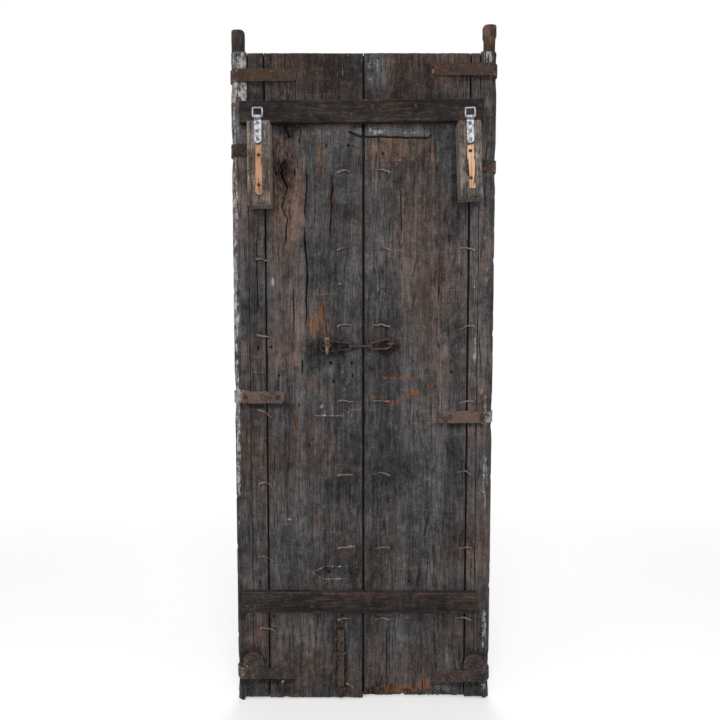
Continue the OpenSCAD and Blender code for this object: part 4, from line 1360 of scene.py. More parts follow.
@dataclass
class PivotPost(Plank):
    """A round-backed post with a turned pin on top and a slanting foot."""

    middle: float = 307.0
    radius: float = 17.0
    inner: float = POST_INNER
    edge: float = 324.0
    shoulder: float = 1634.0
    fall: float = 7.0
    foot: float = FOOT_H
    tip: float = 16.0
    left_pin: float = 16.5
    right_pin: float = 14.5
    rim: float = 8.0
    swell: float = 2.2
    chips: float = 5.0

    @property
    def straps(self) -> tuple[float, ...]:
        """Heights of the iron straps that wrap this post."""
        if self.is_left:
            return 1575.0, 1397.0, 789.5, 73.0
        return 1589.0, 1359.0, 739.5, 68.0

    def pin_radius(self, z: float) -> float:
        """Radius of the pin at a height.

        Args:
            z: Height.

        Returns:
            The radius, with the right pin's thicker head.
        """
        top = self.high.z
        end = 1.8 * (1.0 - ease(top - z, 0.0, 2.6))
        if self.is_left:
            return self.left_pin - end + 0.5 * grain_noise(z / 9.0, 1.0, 1.0)
        return self.right_pin + 2.5 * ease(z, top - 32.0, top - 24.0) - end

    def section(self, across: float, d: float, z: float) -> tuple[float, float]:
        """Place of a point on the unworn pin, post or foot.

        Args:
            across: Share across, from the boards outwards.
            d: Share of the depth, 0 on the face.
            z: Height.

        Returns:
            Its distance from the middle of the panel and its depth.
        """
        deep_mid = self.low.y + self.radius
        inward = 2.0 * d - 1.0
        if z > self.shoulder:
            aside = 2.0 * across - 1.0
            radius = self.pin_radius(z) * (1.0 + 0.02 * grain_noise(aside * 3.0, inward * 3.0, z / 14.0))
            return (self.middle + radius * aside * (0.3 + 0.7 * math.sqrt(1.0 - inward * inward / 2.0)),
                    deep_mid + radius * inward * (0.3 + 0.7 * math.sqrt(1.0 - aside * aside / 2.0)))
        wide = self.edge - self.inner
        if z < self.foot:
            wide = self.tip + (wide - self.tip) * max(0.0, z - self.low.z) / (self.foot - self.low.z)
        x = self.edge - (1.0 - across) * wide
        if x <= self.middle:
            return x, self.low.y + 2.0 * self.radius * d
        aside = (x - self.middle) / self.radius
        return (self.middle + self.radius * aside * math.sqrt(1.0 - inward * inward / 2.0),
                deep_mid + self.radius * inward * math.sqrt(1.0 - aside * aside / 2.0))

    def place(self, u: float, d: float, w: float) -> tuple[Vector, list[float]]:
        """Puts a point of the fine block on the post, its pin or its foot.

        Args:
            u: Share across.
            d: Share of the depth, 0 on the face.
            w: Share of the height.

        Returns:
            The point and its masks.
        """
        z = self.level(w)
        sign = -1.0 if self.is_left else 1.0
        x, y = self.section(u if sign > 0 else 1.0 - u, d, z)
        rough = grain_noise(x / 4.0, y / 4.0, z / 70.0) + 0.7 * grain_noise(x / 11.0, y / 11.0, z / 40.0)
        worn = 0.45 * (1.0 + rough)
        point = Vector((x, y, z))
        away = point - Vector((self.middle - 2.0, self.low.y + self.radius, z))
        if away.length > 1e-6 and 0.0 < w < 1.0:
            point -= away.normalized() * worn
        if x > self.edge - self.rim and z < self.shoulder:
            free = min(abs(z - strap) for strap in self.straps)
            chip = max(0.0, grain_noise(z / 26.0, sign, 3.0) - 0.25)
            out = self.swell * ease(free, 17.0, 60.0) - self.chips * chip
            point.x += out * ease(x, self.edge - self.rim, self.edge)
        if z <= self.shoulder:
            slope = max(0.0, (self.middle - x) / (self.middle - self.inner))
            point.z -= self.fall * ease(z, self.shoulder - 3.0, self.shoulder) * slope
        point.x *= sign
        masks = self.front.masks(point.x, z)
        # Painted shade in fine grooves along the post.
        groove = grain_noise(x / 2.6, y / 2.6, z / 120.0)
        masks[Mask.CAVITY.value] = 0.55 * ease(groove, 0.45, 0.75)
        masks[Mask.EDGE.value] = 0.35 * ease(abs(x - self.inner), 6.0, 0.0)
        if z > self.shoulder:
            masks[Mask.RUST.value] = 0.3 if self.is_left else 0.75
            masks[Mask.DARK.value] = 0.55 if self.is_left else 0.25
            masks[Mask.PLASTER.value] *= 0.2
        return point, masks


@dataclass
class Batten(Plank):
    """A sawn cross batten, nailed on a slight slope."""

    slope: float = 0.0
    long: float = 592.0
    tall: float = 53.0

    def place(self, u: float, d: float, w: float) -> tuple[Vector, list[float]]:
        """Puts a point of the fine block on the sloping batten.

        Args:
            u: Share across.
            d: Share of the depth, 0 on the face.
            w: Share of the height.

        Returns:
            The point and its masks.
        """
        middle = (self.low + self.high) / 2.0
        along, up = (u - 0.5) * self.long, (w - 0.5) * self.tall
        end, rim = self.long / 2.0 - abs(along), self.tall / 2.0 - abs(up)
        seed = self.front.seed
        up += 0.8 * grain_noise(along / 70.0, seed, 1.0) * (1.0 - ease(rim, 0.0, 20.0))
        short = math.copysign(1.2 + 1.2 * grain_noise(up / 5.0, seed, 4.0), along)
        along -= short * (1.0 - ease(end, 0.0, 14.0))
        near = min(end, rim)
        curve = 2.2 * (1.0 + 0.6 * grain_noise(along / 30.0, seed, up / 20.0))
        masks = no_masks()
        deep, cavity = self.front.depth(along, along, up)
        room = self.high.y - self.low.y
        if d < ON_FACE:
            y = self.low.y + deep + rounding(curve, near)
        elif d > ON_BACK:
            y = self.high.y - 0.2
        else:
            y = self.low.y + room * (0.16 + 0.8 * d)
        # Rubbed rims; the extra lightness of the upper rim and of the top face is painted light from above.
        masks[Mask.EDGE.value] = rubbed_rim(near) * (0.75 if up > 0 else 0.45)
        masks[Mask.CAVITY.value] = cavity
        masks[Mask.LIGHT.value] = 0.45 * (1.0 - ease(d, 0.0, 0.6)) if up > self.tall / 2.0 - 2.0 else 0.0
        masks[Mask.RUST.value] = 0.3 * ease(grain_noise(along / 60.0, seed, 7.0), 0.0, 0.6)
        masks[Mask.RUST.value] += 0.45 * (1.0 - ease(near, 1.0, 8.0)) * ease(along, -200.0, 280.0)
        turn = math.radians(self.slope)
        x = middle.x + along * math.cos(turn) - up * math.sin(turn)
        z = middle.z + along * math.sin(turn) + up * math.cos(turn)
        return Vector((x, y, z)), masks


@dataclass
class HangingBlock(Plank):
    """A rough block with a chiselled groove below its hanger."""

    middle_x: float = 250.0
    top: float = 1453.5
    wide: float = 53.0
    long: float = 198.0
    lean: float = 0.0
    groove_w: float = 16.0
    groove_top: float = 56.0
    groove_foot: float = 24.0
    groove_deep: float = 5.0
    strap_z: float = 1397.0
    strap_half: float = 16.5
    strap_end: float = 240.0
    strap_bed: float = 3.9

    def groove(self, x: float, drop: float) -> float:
        """How deep the groove is at a point of the block's face.

        Args:
            x: Place across, from the block's middle.
            drop: Distance below the block's top.

        Returns:
            A share of the groove's depth.
        """
        foot = self.long - self.groove_foot
        half = self.groove_w / 2.0
        ragged = 1.0 * grain_noise(x / 4.0, self.front.seed, drop / 9.0)
        ragged += 1.8 * grain_noise(math.copysign(3.0, x), self.front.seed + self.middle_x, drop / 17.0)
        if self.lean == 0.0:
            edge = half - abs(x)
            low = foot - half - drop
            if low < 0.0:
                edge = half - math.hypot(x, low)
            return ease(min(edge, drop - self.groove_top) + ragged, -0.6, 1.2)
        step = self.groove_w / 6.0 if drop > self.groove_top + 34.0 else 0.0
        edge = half - abs(x - step)
        return ease(min(edge, drop - self.groove_top, foot - drop) + ragged, -0.6, 1.2)

    def place(self, u: float, d: float, w: float) -> tuple[Vector, list[float]]:
        """Puts a point of the fine block on the leaning block.

        Args:
            u: Share across.
            d: Share of the depth, 0 on the face.
            w: Share of the height.

        Returns:
            The point and its masks.
        """
        seed = self.front.seed
        x, drop = (u - 0.5) * self.wide, (1.0 - w) * self.long
        side, end = self.wide / 2.0 - abs(x), min(drop, self.long - drop)
        x += 0.7 * grain_noise(seed, drop / 30.0, d) * (1.0 - ease(side, 0.0, 12.0))
        near = min(side, end)
        curve = 2.6 * (1.0 + 0.6 * grain_noise(drop / 21.0, seed, x / 11.0))
        masks = no_masks()
        room = self.high.y - self.low.y
        sign = math.copysign(1.0, self.middle_x)
        if d < ON_FACE:
            groove = self.groove(x, drop)
            deep, cavity = self.front.depth(x, x, drop)
            cut = self.groove_deep + 0.5 * grain_noise(x / 3.0, seed, drop / 12.0)
            y = self.low.y + deep * (1.0 - groove) + rounding(curve, near) + groove * cut
            masks[Mask.BARE.value] = groove
            masks[Mask.CAVITY.value] = cavity * (1.0 - groove)
            # The face darkens towards the foot of the block.
            masks[Mask.DARK.value] = 0.3 * ease(drop, self.long - 12.0, self.long)
            masks[Mask.LIGHT.value] = 0.25 * (1.0 - groove)
        elif d > ON_BACK:
            y = self.high.y
        else:
            y = self.low.y + room * (0.07 + 0.9 * d)
        masks[Mask.EDGE.value] = 0.8 * rubbed_rim(near) * (1.0 - masks[Mask.BARE.value])
        # Painted shade on the end faces of the block.
        if end < 0.5:
            masks[Mask.DARK.value] = 0.55
        turn = math.radians(self.lean)
        out = Vector((self.middle_x + x * math.cos(turn) + drop * math.sin(turn), y,
                      self.top + x * math.sin(turn) - drop * math.cos(turn)))
        over_strap = abs(out.z - self.strap_z) < self.strap_half and sign * out.x > self.strap_end - 1.0
        if d > 0.9 and over_strap:
            out.y = self.high.y - self.strap_bed
        return out, masks


@dataclass
class Ledge(Plank):
    """A sawn ledge across the hidden face, with eased outer edges."""

    ease_edge: float = 4.0

    def place(self, u: float, d: float, w: float) -> tuple[Vector, list[float]]:
        """Puts a point of the fine block on the ledge.

        Args:
            u: Share across.
            d: Share of the depth, 0 against the boards.
            w: Share of the height.

        Returns:
            The point and its masks.
        """
        size = self.high - self.low
        x, z = self.low.x + u * size.x, self.low.z + w * size.z
        seed = self.back.seed
        rim = min(z - self.low.z, self.high.z - z)
        end = min(x - self.low.x, self.high.x - x)
        x += 0.8 * grain_noise(z / 6.0, seed, 2.0) * (1.0 - ease(end, 0.0, 8.0))
        z += 0.6 * grain_noise(x / 60.0, seed, 5.0) * (1.0 - ease(rim, 0.0, 12.0))
        masks = no_masks()
        if d > ON_BACK:
            deep, cavity = self.back.depth(x, x, z)
            bevel = max(0.0, self.ease_edge - rim) + max(0.0, 2.0 - end)
            y = self.high.y - deep - bevel
            masks[Mask.CAVITY.value] = cavity
        elif d < ON_FACE:
            y = self.low.y
        else:
            y = self.low.y + size.y * 0.8 * d
        masks[Mask.EDGE.value] = 0.7 * (1.0 - ease(min(rim, end), 1.0, 6.0))
        masks[Mask.LIGHT.value] = 0.3 * ease(grain_noise(x / 90.0, seed, z / 30.0), 0.0, 0.6)
        return Vector((x, y, z)), masks


def clouds(name: str, size: float, depth: int) -> bpy.types.Texture:
    """A cloud texture that pushes a surface in and out.

    Args:
        name: Its name.
        size: Size of its largest clouds, in metres.
        depth: How many finer clouds lie in them.

    Returns:
        The texture.
    """
    texture = bpy.data.textures.new(name, "CLOUDS")
    texture.noise_scale = size
    texture.noise_depth = depth
    return texture


HAMMER = clouds("hammer_marks", 0.009, 3)
BOWING = clouds("uneven_forging", 0.03, 1)


def paint(node: str, finish: bpy.types.Material) -> None:
    """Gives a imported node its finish.

    Args:
        node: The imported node.
        finish: Its material.
    """
    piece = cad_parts[node]
    piece.data.materials.clear()
    piece.data.materials.append(finish)
    LOG.info("%s: %s", node, finish.name)


@dataclass(frozen=True)
class Smithing:
    """How far an imported iron node is roughened, with live modifiers and a finish."""

    voxel: float
    hammer: float
    bow: float = 0.0
    weld: float = 0.01

    def dress(self, node: str, finish: bpy.types.Material) -> None:
        """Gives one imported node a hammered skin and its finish.

        Args:
            node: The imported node.
            finish: Its material.
        """
        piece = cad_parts[node]
        weld = piece.modifiers.new("weld", "WELD")
        weld.merge_threshold = self.weld * MM
        remesh = piece.modifiers.new("skin", "REMESH")
        remesh.mode = "VOXEL"
        remesh.voxel_size = self.voxel * MM
        remesh.use_smooth_shade = True
        self.push(piece, "dents", HAMMER, self.hammer)
        if self.bow > 0.0:
            self.push(piece, "bow", BOWING, self.bow)
        paint(node, finish)

    @staticmethod
    def push(piece: bpy.types.Object, name: str, texture: bpy.types.Texture, height: float) -> None:
        """Adds one displacement to a piece.

        Args:
            piece: The piece.
            name: Name of the modifier.
            texture: What pushes the surface.
            height: How far it pushes, in millimetres.
        """
        dents = piece.modifiers.new(name, "DISPLACE")
        dents.texture = texture
        dents.texture_coords = "LOCAL"
        dents.mid_level = 0.5
        dents.strength = height * MM


def finish_piece(bm: bmesh.types.BMesh, node: str, body: str,
                 finish: bpy.types.Material) -> bpy.types.Object:
    """Closes a mesh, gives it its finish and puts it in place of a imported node.

    Args:
        bm: The mesh, in millimetres.
        node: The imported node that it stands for.
        body: The body that it rides on.
        finish: Its material.

    Returns:
        The finished object.
    """
    bmesh.ops.scale(bm, verts=bm.verts[:], vec=(MM, MM, MM))
    bmesh.ops.recalc_face_normals(bm, faces=bm.faces[:])
    mesh = bpy.data.meshes.new(node + "_worn")
    bm.to_mesh(mesh)
    bm.free()
    piece = link_piece(mesh, finish, 50.0)
    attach(piece, body)
    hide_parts(node)
    return piece


@dataclass
class WhittledPeg:
    """The wooden peg in the lock staple, cut with a knife and ringed by wear."""

    finish: bpy.types.Material
    node: str = "locking_peg"
    steps: int = 28
    profile: tuple[Point, ...] = (
        (0.0, 0.0), (2.2, 0.0), (3.0, 0.9), (3.9, 5.0), (4.8, 11.0), (5.7, 16.0), (5.75, 20.0),
        (5.75, 25.7), (6.6, 26.1), (7.3, 27.0), (7.6, 28.8), (5.6, 29.8), (5.5, 31.2), (7.6, 32.2),
        (7.65, 34.0), (5.8, 34.9), (5.8, 36.1), (7.6, 37.0), (7.4, 40.0), (6.4, 42.2), (3.0, 42.9),
        (0.0, 43.0),
    )

    def build(self) -> bpy.types.Object:
        """Turns the profile, nicks it and puts it in place.

        Returns:
            The finished peg.
        """
        low, high = box_mm(self.node)
        bm = bmesh.new()
        verts = [bm.verts.new((r, 0.0, z)) for r, z in self.profile]
        edges = [bm.edges.new(pair) for pair in zip(verts, verts[1:])]
        bmesh.ops.spin(bm, geom=verts + edges, cent=(0.0, 0.0, 0.0), axis=(0.0, 0.0, 1.0),
                       angle=math.tau, steps=self.steps, use_merge=True)
        bmesh.ops.remove_doubles(bm, verts=bm.verts[:], dist=0.01)
        for vert in bm.verts:
            turn = math.atan2(vert.co.y, vert.co.x)
            flat = 0.35 * abs(math.sin(3.5 * turn + vert.co.z / 12.0))
            flat += 0.3 * max(0.0, grain_noise(math.cos(turn) * 2.0, math.sin(turn) * 2.0, vert.co.z / 4.0))
            reach = math.hypot(vert.co.x, vert.co.y)
            if reach > 0.5:
                vert.co.x *= 1.0 - flat / reach
                vert.co.y *= 1.0 - flat / reach
        middle = (low + high) / 2.0
        bmesh.ops.translate(bm, verts=bm.verts[:], vec=(middle.x, middle.y, low.z))
        return finish_piece(bm, self.node, "peg", self.finish)


@dataclass
class ClenchedNails:
    """Nails driven through one leaf from the hidden face, their tips bent over on this one."""

    side: str
    finish: bpy.types.Material
    inner_x: float = 63.7
    left_x: float = 264.0
    right_x: float = 272.5
    left_drop: float = 22.0
    through: float = 54.0
    board: float = 34.0
    diameter: float = 5.6
    tip_d: float = 3.2
    tip_len: float = 42.0
    head_r: float = 6.5
    head_flat: float = 0.4
    elbow: float = 1.12
    bends: int = 8
    arch: float = 3.4
    kink: float = 5.5
    stray_x: float = -42.0
    stray_z: float = 48.0
    stray_slant: float = -45.0
    stray_stout: float = 1.4
    inner_slants: tuple[float, ...] = (3.0, -2.0, 2.0, -3.0, 4.0, 1.0, 7.0)
    left_slants: tuple[float, ...] = (-14.0, -18.0, -6.0, -26.0, -14.0, -17.0)
    right_slants: tuple[float, ...] = (6.0, -6.0, 13.0, -8.0, -14.0, 8.0)

    def build(self) -> bpy.types.Object:
        """Makes all the nails of the leaf as one piece.

        Returns:
            The finished nails.
        """
        bm = bmesh.new()
        sign = -1.0 if self.side == "left" else 1.0
        for number in range(1, LEDGE_ROWS + 1):
            low, high = box_mm(f"{self.side}_ledge_{number}")
            z = (low.z + high.z) / 2.0
            self.nail(bm, sign * self.inner_x, z, -sign, self.inner_slants[number - 1], sign * number + 0.3)
            if number < LEDGE_ROWS:
                outer = self.left_x if sign < 0 else self.right_x
                drop = self.left_drop if sign < 0 else 0.0
                slants = self.left_slants if sign < 0 else self.right_slants
                self.nail(bm, sign * outer, z - drop, -sign, slants[number - 1], sign * number + 20.7)
        if sign < 0:
            self.nail(bm, self.stray_x, self.stray_z, 1.0, self.stray_slant, 41.0,
                      self.stray_stout, self.board)
        return finish_piece(bm, f"{self.side}_ledge_nails", "panel", self.finish)

    def nail(self, bm: bmesh.types.BMesh, x: float, z: float, way: float, slant: float, seed: float,
             stout: float = 1.0, head_at: Optional[float] = None) -> None:
        """Adds one nail.

        Args:
            bm: The mesh of all the nails.
            x: Place of its shank across.
            z: Height of its shank.
            way: Which way its tip points, -1 or 1.
            slant: Rise of its tip in degrees.
            seed: What its bends differ by.
            stout: Share of the usual diameter.
            head_at: Depth of its head below the face.
        """
        deep = head_at or self.through
        radius = self.diameter * stout / 2.0
        out = self.elbow * radius + 0.1
        head = bmesh.ops.create_uvsphere(bm, u_segments=12, v_segments=8, radius=self.head_r)["verts"]
        bmesh.ops.scale(bm, verts=head, vec=(1.0, self.head_flat, 1.0))
        for vert in head:
            vert.co += Vector((0.5, 0.2, 0.5)) * grain_noise(vert.co.x / 4.0, seed, vert.co.z / 4.0)
        bmesh.ops.translate(bm, verts=head, vec=(x, FACE_Y + deep + 0.1, z))
        self.rod(bm, [Vector((x, FACE_Y + deep, z)), Vector((x, FACE_Y - out, z))], [radius, radius])
        elbow = bmesh.ops.create_uvsphere(bm, u_segments=10, v_segments=6,
                                          radius=radius * self.elbow)["verts"]
        bmesh.ops.translate(bm, verts=elbow, vec=(x, FACE_Y - out, z))
        arch = self.arch + 3.6 * grain_noise(seed * 1.37, 1.0, 2.0)
        reach = self.tip_len * (0.88 + 0.3 * grain_noise(seed * 1.91, 5.0, 2.0))
        path, radii = [], []
        for step in range(self.bends + 1):
            t = step / self.bends
            rise = reach * t * math.sin(math.radians(slant)) + arch * math.sin(math.pi * t ** 0.8)
            rise += self.kink * grain_noise(t * 3.1, seed * 1.7, 4.0) * math.sqrt(t)
            run = reach * t * math.cos(math.radians(slant))
            path.append(Vector((x + way * run, FACE_Y - out + (out - 0.9) * t ** 2, z + rise)))
            radii.append(radius + (self.tip_d / 2.0 - radius) * t)
        self.rod(bm, path, radii)

    @staticmethod
    def rod(bm: bmesh.types.BMesh, path: list[Vector], radii: list[float]) -> None:
        """Adds a round rod along a path.

        Args:
            bm: The mesh it is added to.
            path: Its middle line.
            radii: Its radius at each point.
        """
        along = (path[1] - path[0]).normalized()
        turn = along.to_track_quat("Z", "Y").to_matrix().to_4x4()
        made = bmesh.ops.create_circle(bm, cap_ends=True, segments=8, radius=radii[0],
                                       matrix=Matrix.Translation(path[0]) @ turn)["verts"]
        ring = made[0].link_faces[0]
        for here, there, first, second in zip(path, path[1:], radii, radii[1:]):
            grown = bmesh.ops.extrude_face_region(bm, geom=[ring])["geom"]
            ring = next(g for g in grown if isinstance(g, bmesh.types.BMFace))
            bmesh.ops.scale(bm, verts=ring.verts[:], vec=(second / first,) * 3,
                            space=Matrix.Translation(-here))
            bmesh.ops.translate(bm, verts=ring.verts[:], vec=there - here)


@dataclass
class Leaves:
    """Posts, boards and ledges of both leaves."""

    wood: bpy.types.Material
    ledge_wood: bpy.types.Material

    def build(self) -> None:
        """Makes every piece of the two leaves."""
        face = Relief(seed=1.7, cracks=FACE_CRACKS, pits=FACE_PITS, marks=tuple(FACE_STAINS),
                      fields=FACE_FIELDS)
        hidden = Relief(seed=31.0, ridge=0.35, wave=0.7)
        for side in ("left", "right"):
            PivotPost(f"{side}_pivot_post", self.wood, "old_wood", face, hidden,
                      column=2.4, side_rows=9).build()
            NarrowBoard(f"{side}_narrow_board", self.wood, "old_wood", face, hidden).build()
            WideBoard(f"{side}_wide_board", self.wood, "old_wood", face, hidden).build()
            for number in range(1, LEDGE_ROWS + 1):
                back = Relief(seed=50.0 + number, grain=Grain.ACROSS, ridge=0.3, wave=0.5)
                Ledge(f"{side}_ledge_{number}", self.ledge_wood, "old_wood", face, back,
                      column=9.0, row=2.6, side_rows=3).build()


@dataclass
class Hanging:
    """Battens, hanging blocks and zinc hangers that make the pair a wall panel."""

    batten_wood: bpy.types.Material
    left_block_wood: bpy.types.Material
    right_block_wood: bpy.types.Material
    zinc: bpy.types.Material
    painted_shade_zinc: bpy.types.Material
    screws: bpy.types.Material

    def build(self) -> None:
        """Makes the wood and dresses the hangers."""
        for node, seed, slope in (("upper_batten", 71.0, 0.6), ("lower_batten", 83.0, -0.3)):
            sawn = Relief(seed=seed, grain=Grain.ACROSS, ridge=0.28, wave=0.5)
            Batten(node, self.batten_wood, "batten_wood", sawn, sawn, column=5.0, row=1.6,
                   side_rows=4, slope=slope).build()
        rough = Relief(seed=97.0, ridge=0.5, wave=0.6)
        HangingBlock("left_hanging_block", self.left_block_wood, "block_wood", rough, rough, column=1.5,
                     row=2.6, side_rows=12, middle_x=-250.0).build()
        HangingBlock("right_hanging_block", self.right_block_wood, "block_wood", rough, rough, column=1.5,
                     row=2.6, side_rows=12, long=182.0, lean=2.2, strap_z=1359.0).build()
        for side in ("left", "right"):
            paint(f"{side}_hanger_strap", self.zinc)
            paint(f"{side}_hanger_ring", self.zinc)
        # The hanger screws are painted dark zinc, standing in for the shade in their slots.
        paint("hanger_screws", self.painted_shade_zinc)
        paint("block_screws", self.screws)


@dataclass
class Ironwork:
    """Straps, nails, chain lock and drop bolt."""

    strap: bpy.types.Material
    limed: bpy.types.Material
    foot: bpy.types.Material
    head: bpy.types.Material
    nail: bpy.types.Material
    chain: bpy.types.Material
    staple: bpy.types.Material
    bolt: bpy.types.Material
    peg: bpy.types.Material

    def build(self) -> None:
        """Dresses every iron node."""
        plate = Smithing(voxel=1.2, hammer=0.9, bow=1.8)
        rod = Smithing(voxel=0.55, hammer=0.35)
        bar = Smithing(voxel=0.8, hammer=0.4)
        for side in ("left", "right"):
            for level, finish in (("top", self.strap), ("second", self.strap), ("middle", self.limed),
                                  ("bottom", self.foot)):
                plate.dress(f"{side}_{level}_strap", finish)
            paint(f"{side}_strap_nails", self.head)
            ClenchedNails(side, self.nail).build()
            plate.dress(f"{side}_corner_plate", self.foot)
        paint("batten_nails", self.head)
        for node in ("hasp_link", "middle_link", "end_link"):
            rod.dress(node, self.chain)
        for node in ("lock_staple", "chain_staple"):
            rod.dress(node, self.staple)
        for node in ("drop_bolt", "upper_bolt_staple", "lower_bolt_staple"):
            bar.dress(node, self.bolt)
        WhittledPeg(self.peg).build()


@dataclass(frozen=True)
class SoftLamp:
    """A square soft lamp: where it stands, the point it looks at, its side in metres and its watts."""

    name: str
    at: Spot
    to: Spot
    size: float
    power: float

    def build(self) -> None:
        """Adds the lamp to the scene."""
        data = bpy.data.lights.new(self.name, "AREA")
        data.size, data.energy = self.size, self.power
        holder = bpy.data.objects.new(self.name, data)
        holder.location = self.at
        holder.rotation_euler = (Vector(self.to) - Vector(self.at)).to_track_quat("-Z", "Y").to_euler()
        bpy.context.scene.collection.objects.link(holder)


@dataclass
class Studio:
    """Camera, floor and soft light, in metres."""

    eye: Vector = field(default_factory=lambda: Vector((-0.0092, -1.4436, 0.972)))
    tilt: float = 3.52
    lens: float = 28.95
    sensor: float = 36.0
    floor_half: float = 12.0
    shadow_r: float = 1.3
    white_r: float = 4.5
    shadow_glow: Colour = (0.37, 0.37, 0.37)
    white_glow: Colour = (0.78, 0.78, 0.78)
    lamps: tuple[SoftLamp, ...] = (
        SoftLamp("key", (0.0, -2.9, 2.7), (0.0, 0.0, 0.7), 2.4, 66.0),
        SoftLamp("left_fill", (-3.0, -1.8, 1.2), (0.0, 0.0, 0.75), 2.0, 22.0),
        SoftLamp("right_fill", (3.0, -1.8, 1.2), (0.0, 0.0, 0.75), 2.0, 20.0),
        SoftLamp("back_fill", (0.0, 3.2, 2.4), (0.0, 0.0, 0.85), 2.4, 50.0),
    )

    def build(self) -> None:
        """Sets up the camera, the pale floor, the lamps and the world."""
        scene = bpy.context.scene
        self.camera(scene)
        self.floor(scene)
        for lamp in self.lamps:
            lamp.build()
        self.world(scene)
        scene.view_settings.view_transform = "Standard"

    def camera(self, scene: bpy.types.Scene) -> None:
        """Stands the camera where the photo was taken from.

        Args:
            scene: The scene.
        """
        camera = bpy.data.cameras.new("camera")
        camera.lens, camera.sensor_width = self.lens, self.sensor
        camera.clip_start, camera.clip_end = 0.01, 50.0
        holder = bpy.data.objects.new("camera", camera)
        holder.location = self.eye
        holder.rotation_euler = (math.radians(90.0 - self.tilt), 0.0, 0.0)
        scene.collection.objects.link(holder)
        scene.camera = holder

    def floor(self, scene: bpy.types.Scene) -> None:
        """Lays the pale floor.

        Args:
            scene: The scene.
        """
        bm = bmesh.new()
        bmesh.ops.create_grid(bm, x_segments=1, y_segments=1, size=self.floor_half)
        mesh = bpy.data.meshes.new("floor")
        bm.to_mesh(mesh)
        bm.free()
        floor = bpy.data.objects.new("floor", mesh)
        scene.collection.objects.link(floor)
        mesh.materials.append(self.pale())

    def pale(self) -> bpy.types.Material:
        """Pale floor that the camera sees as white, with a weaker glow where the shadow lies.

        Returns:
            The finished material.
        """
        bench = Bench(bpy.data.materials.new("pale_floor"))
        cast = bench.add("ShaderNodeBsdfDiffuse", None, {"Color": (0.9, 0.9, 0.9, 1.0)})
        away = bench.add("ShaderNodeVectorMath", {"operation": "LENGTH"}, {0: bench.place()}, "Value")
        level = bench.mix(away.step(self.shadow_r, self.white_r), self.shadow_glow, self.white_glow)
        glow = bench.add("ShaderNodeEmission", None, {"Color": level, "Strength": 1.0})
        both = bench.add("ShaderNodeAddShader", None, {0: cast, 1: glow})
        surface = bench.add("ShaderNodeMixShader", None, {0: self.seen(bench), 1: cast, 2: both})
        bench.add("ShaderNodeOutputMaterial", None, {"Surface": surface})
        return bench.owner

    @staticmethod
    def seen(bench: Bench) -> Wire:
        """Tells what is looked at from what is only lit.

        Args:
            bench: The bench of the floor or the world.

        Returns:
            1 on what the camera, a reflection or clear glass sees and 0 in plain light.
        """
        camera = bench.add("ShaderNodeLightPath", out="Is Camera Ray")
        rays = camera.socket.node.outputs
        return camera + Wire(bench, rays["Is Glossy Ray"]) + Wire(bench, rays["Is Transmission Ray"])

    def world(self, scene: bpy.types.Scene) -> None:
        """Makes the world white to the camera and to reflections, and a plain grey light to the rest.

        Args:
            scene: The scene.
        """
        scene.world = bpy.data.worlds.new("studio")
        bench = Bench(scene.world)
        light = bench.add("ShaderNodeBackground", None, {"Strength": 0.3})
        white = bench.add("ShaderNodeBackground", None, {"Color": (1.0, 1.0, 1.0, 1.0)})
        surface = bench.add("ShaderNodeMixShader", None, {0: self.seen(bench), 1: light, 2: white})
        bench.add("ShaderNodeOutputWorld", None, {"Surface": surface})


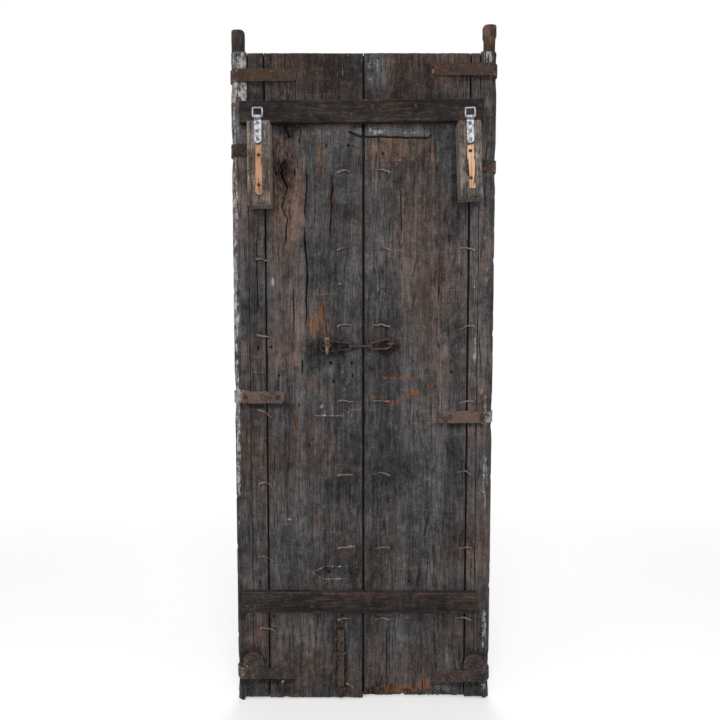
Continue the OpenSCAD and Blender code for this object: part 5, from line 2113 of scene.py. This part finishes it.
def main() -> None:
    """Builds every part of the panel in order."""
    logging.basicConfig(level=logging.INFO, format="%(name)s %(message)s")
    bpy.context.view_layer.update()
    Studio().build()
    Leaves(
        OldWood("old_plank_wood", Grain.UP).material(),
        OldWood("old_ledge_wood", Grain.ACROSS, light=(0.12, 0.095, 0.078)).material(),
    ).build()
    Hanging(
        OldWood("batten_wood", Grain.ACROSS, dark=(0.0035, 0.0028, 0.0025), middle=(0.0185, 0.0148, 0.0132),
                light=(0.1, 0.075, 0.062), scratches=0.16).material(),
        OldWood("left_block_wood", Grain.UP, dark=(0.012, 0.0088, 0.0074), middle=(0.112, 0.088, 0.072),
                light=(0.5, 0.42, 0.35), bare=(0.66, 0.36, 0.215)).material(),
        OldWood("right_block_wood", Grain.UP, dark=(0.012, 0.0088, 0.0074), middle=(0.094, 0.076, 0.063),
                light=(0.45, 0.38, 0.32), bare=(0.88, 0.56, 0.35)).material(),
        ZincPlate("zinc_plate").material(),
        # Dark zinc of the hanger screws, painted as the shade in their slots.
        ZincPlate("painted_shade_screw", colour=(0.2, 0.205, 0.215), dull=(0.06, 0.06, 0.063)).material(),
        ForgedIron("dark_screw").material(),
    ).build()
    Ironwork(
        ForgedIron("rusted_strap", scale=(0.009, 0.0058, 0.0046), brown=(0.048, 0.0255, 0.0185),
                   orange=(0.135, 0.06, 0.031), rubbed=(0.15, 0.1, 0.078), dust=0.24).material(),
        ForgedIron("limed_strap", scale=(0.018, 0.0125, 0.0105), brown=(0.125, 0.074, 0.055),
                   orange=(0.28, 0.145, 0.09), rubbed=(0.36, 0.31, 0.28), rusting=0.01,
                   dust=0.46, edge=1.0, soft=0.24).material(),
        ForgedIron("foot_iron", scale=(0.0095, 0.0082, 0.0076), brown=(0.04, 0.0275, 0.0235),
                   orange=(0.13, 0.068, 0.042), rubbed=(0.25, 0.21, 0.19), dust=0.3, edge=1.0).material(),
        ForgedIron("nail_head", scale=(0.004, 0.0034, 0.003), brown=(0.012, 0.0085, 0.007),
                   orange=(0.07, 0.032, 0.017)).material(),
        ForgedIron("worn_nail", scale=(0.035, 0.026, 0.021), brown=(0.155, 0.112, 0.09),
                   orange=(0.24, 0.17, 0.13), rubbed=(0.42, 0.37, 0.335)).material(),
        ForgedIron("chain_iron", scale=(0.0115, 0.0088, 0.0076), brown=(0.066, 0.039, 0.0285),
                   orange=(0.2, 0.1, 0.055), rubbed=(0.3, 0.25, 0.22), edge=1.0).material(),
        ForgedIron("staple_iron", scale=(0.02, 0.016, 0.014), brown=(0.1, 0.058, 0.04),
                   orange=(0.26, 0.13, 0.07), rubbed=(0.4, 0.38, 0.36)).material(),
        ForgedIron("bolt_iron", scale=(0.008, 0.0064, 0.0056), brown=(0.062, 0.036, 0.028),
                   orange=(0.17, 0.08, 0.045), rubbed=(0.3, 0.25, 0.22), edge=1.0).material(),
        PegWood("peg_wood").material(),
    ).build()


if __name__ == "__main__":
    main()
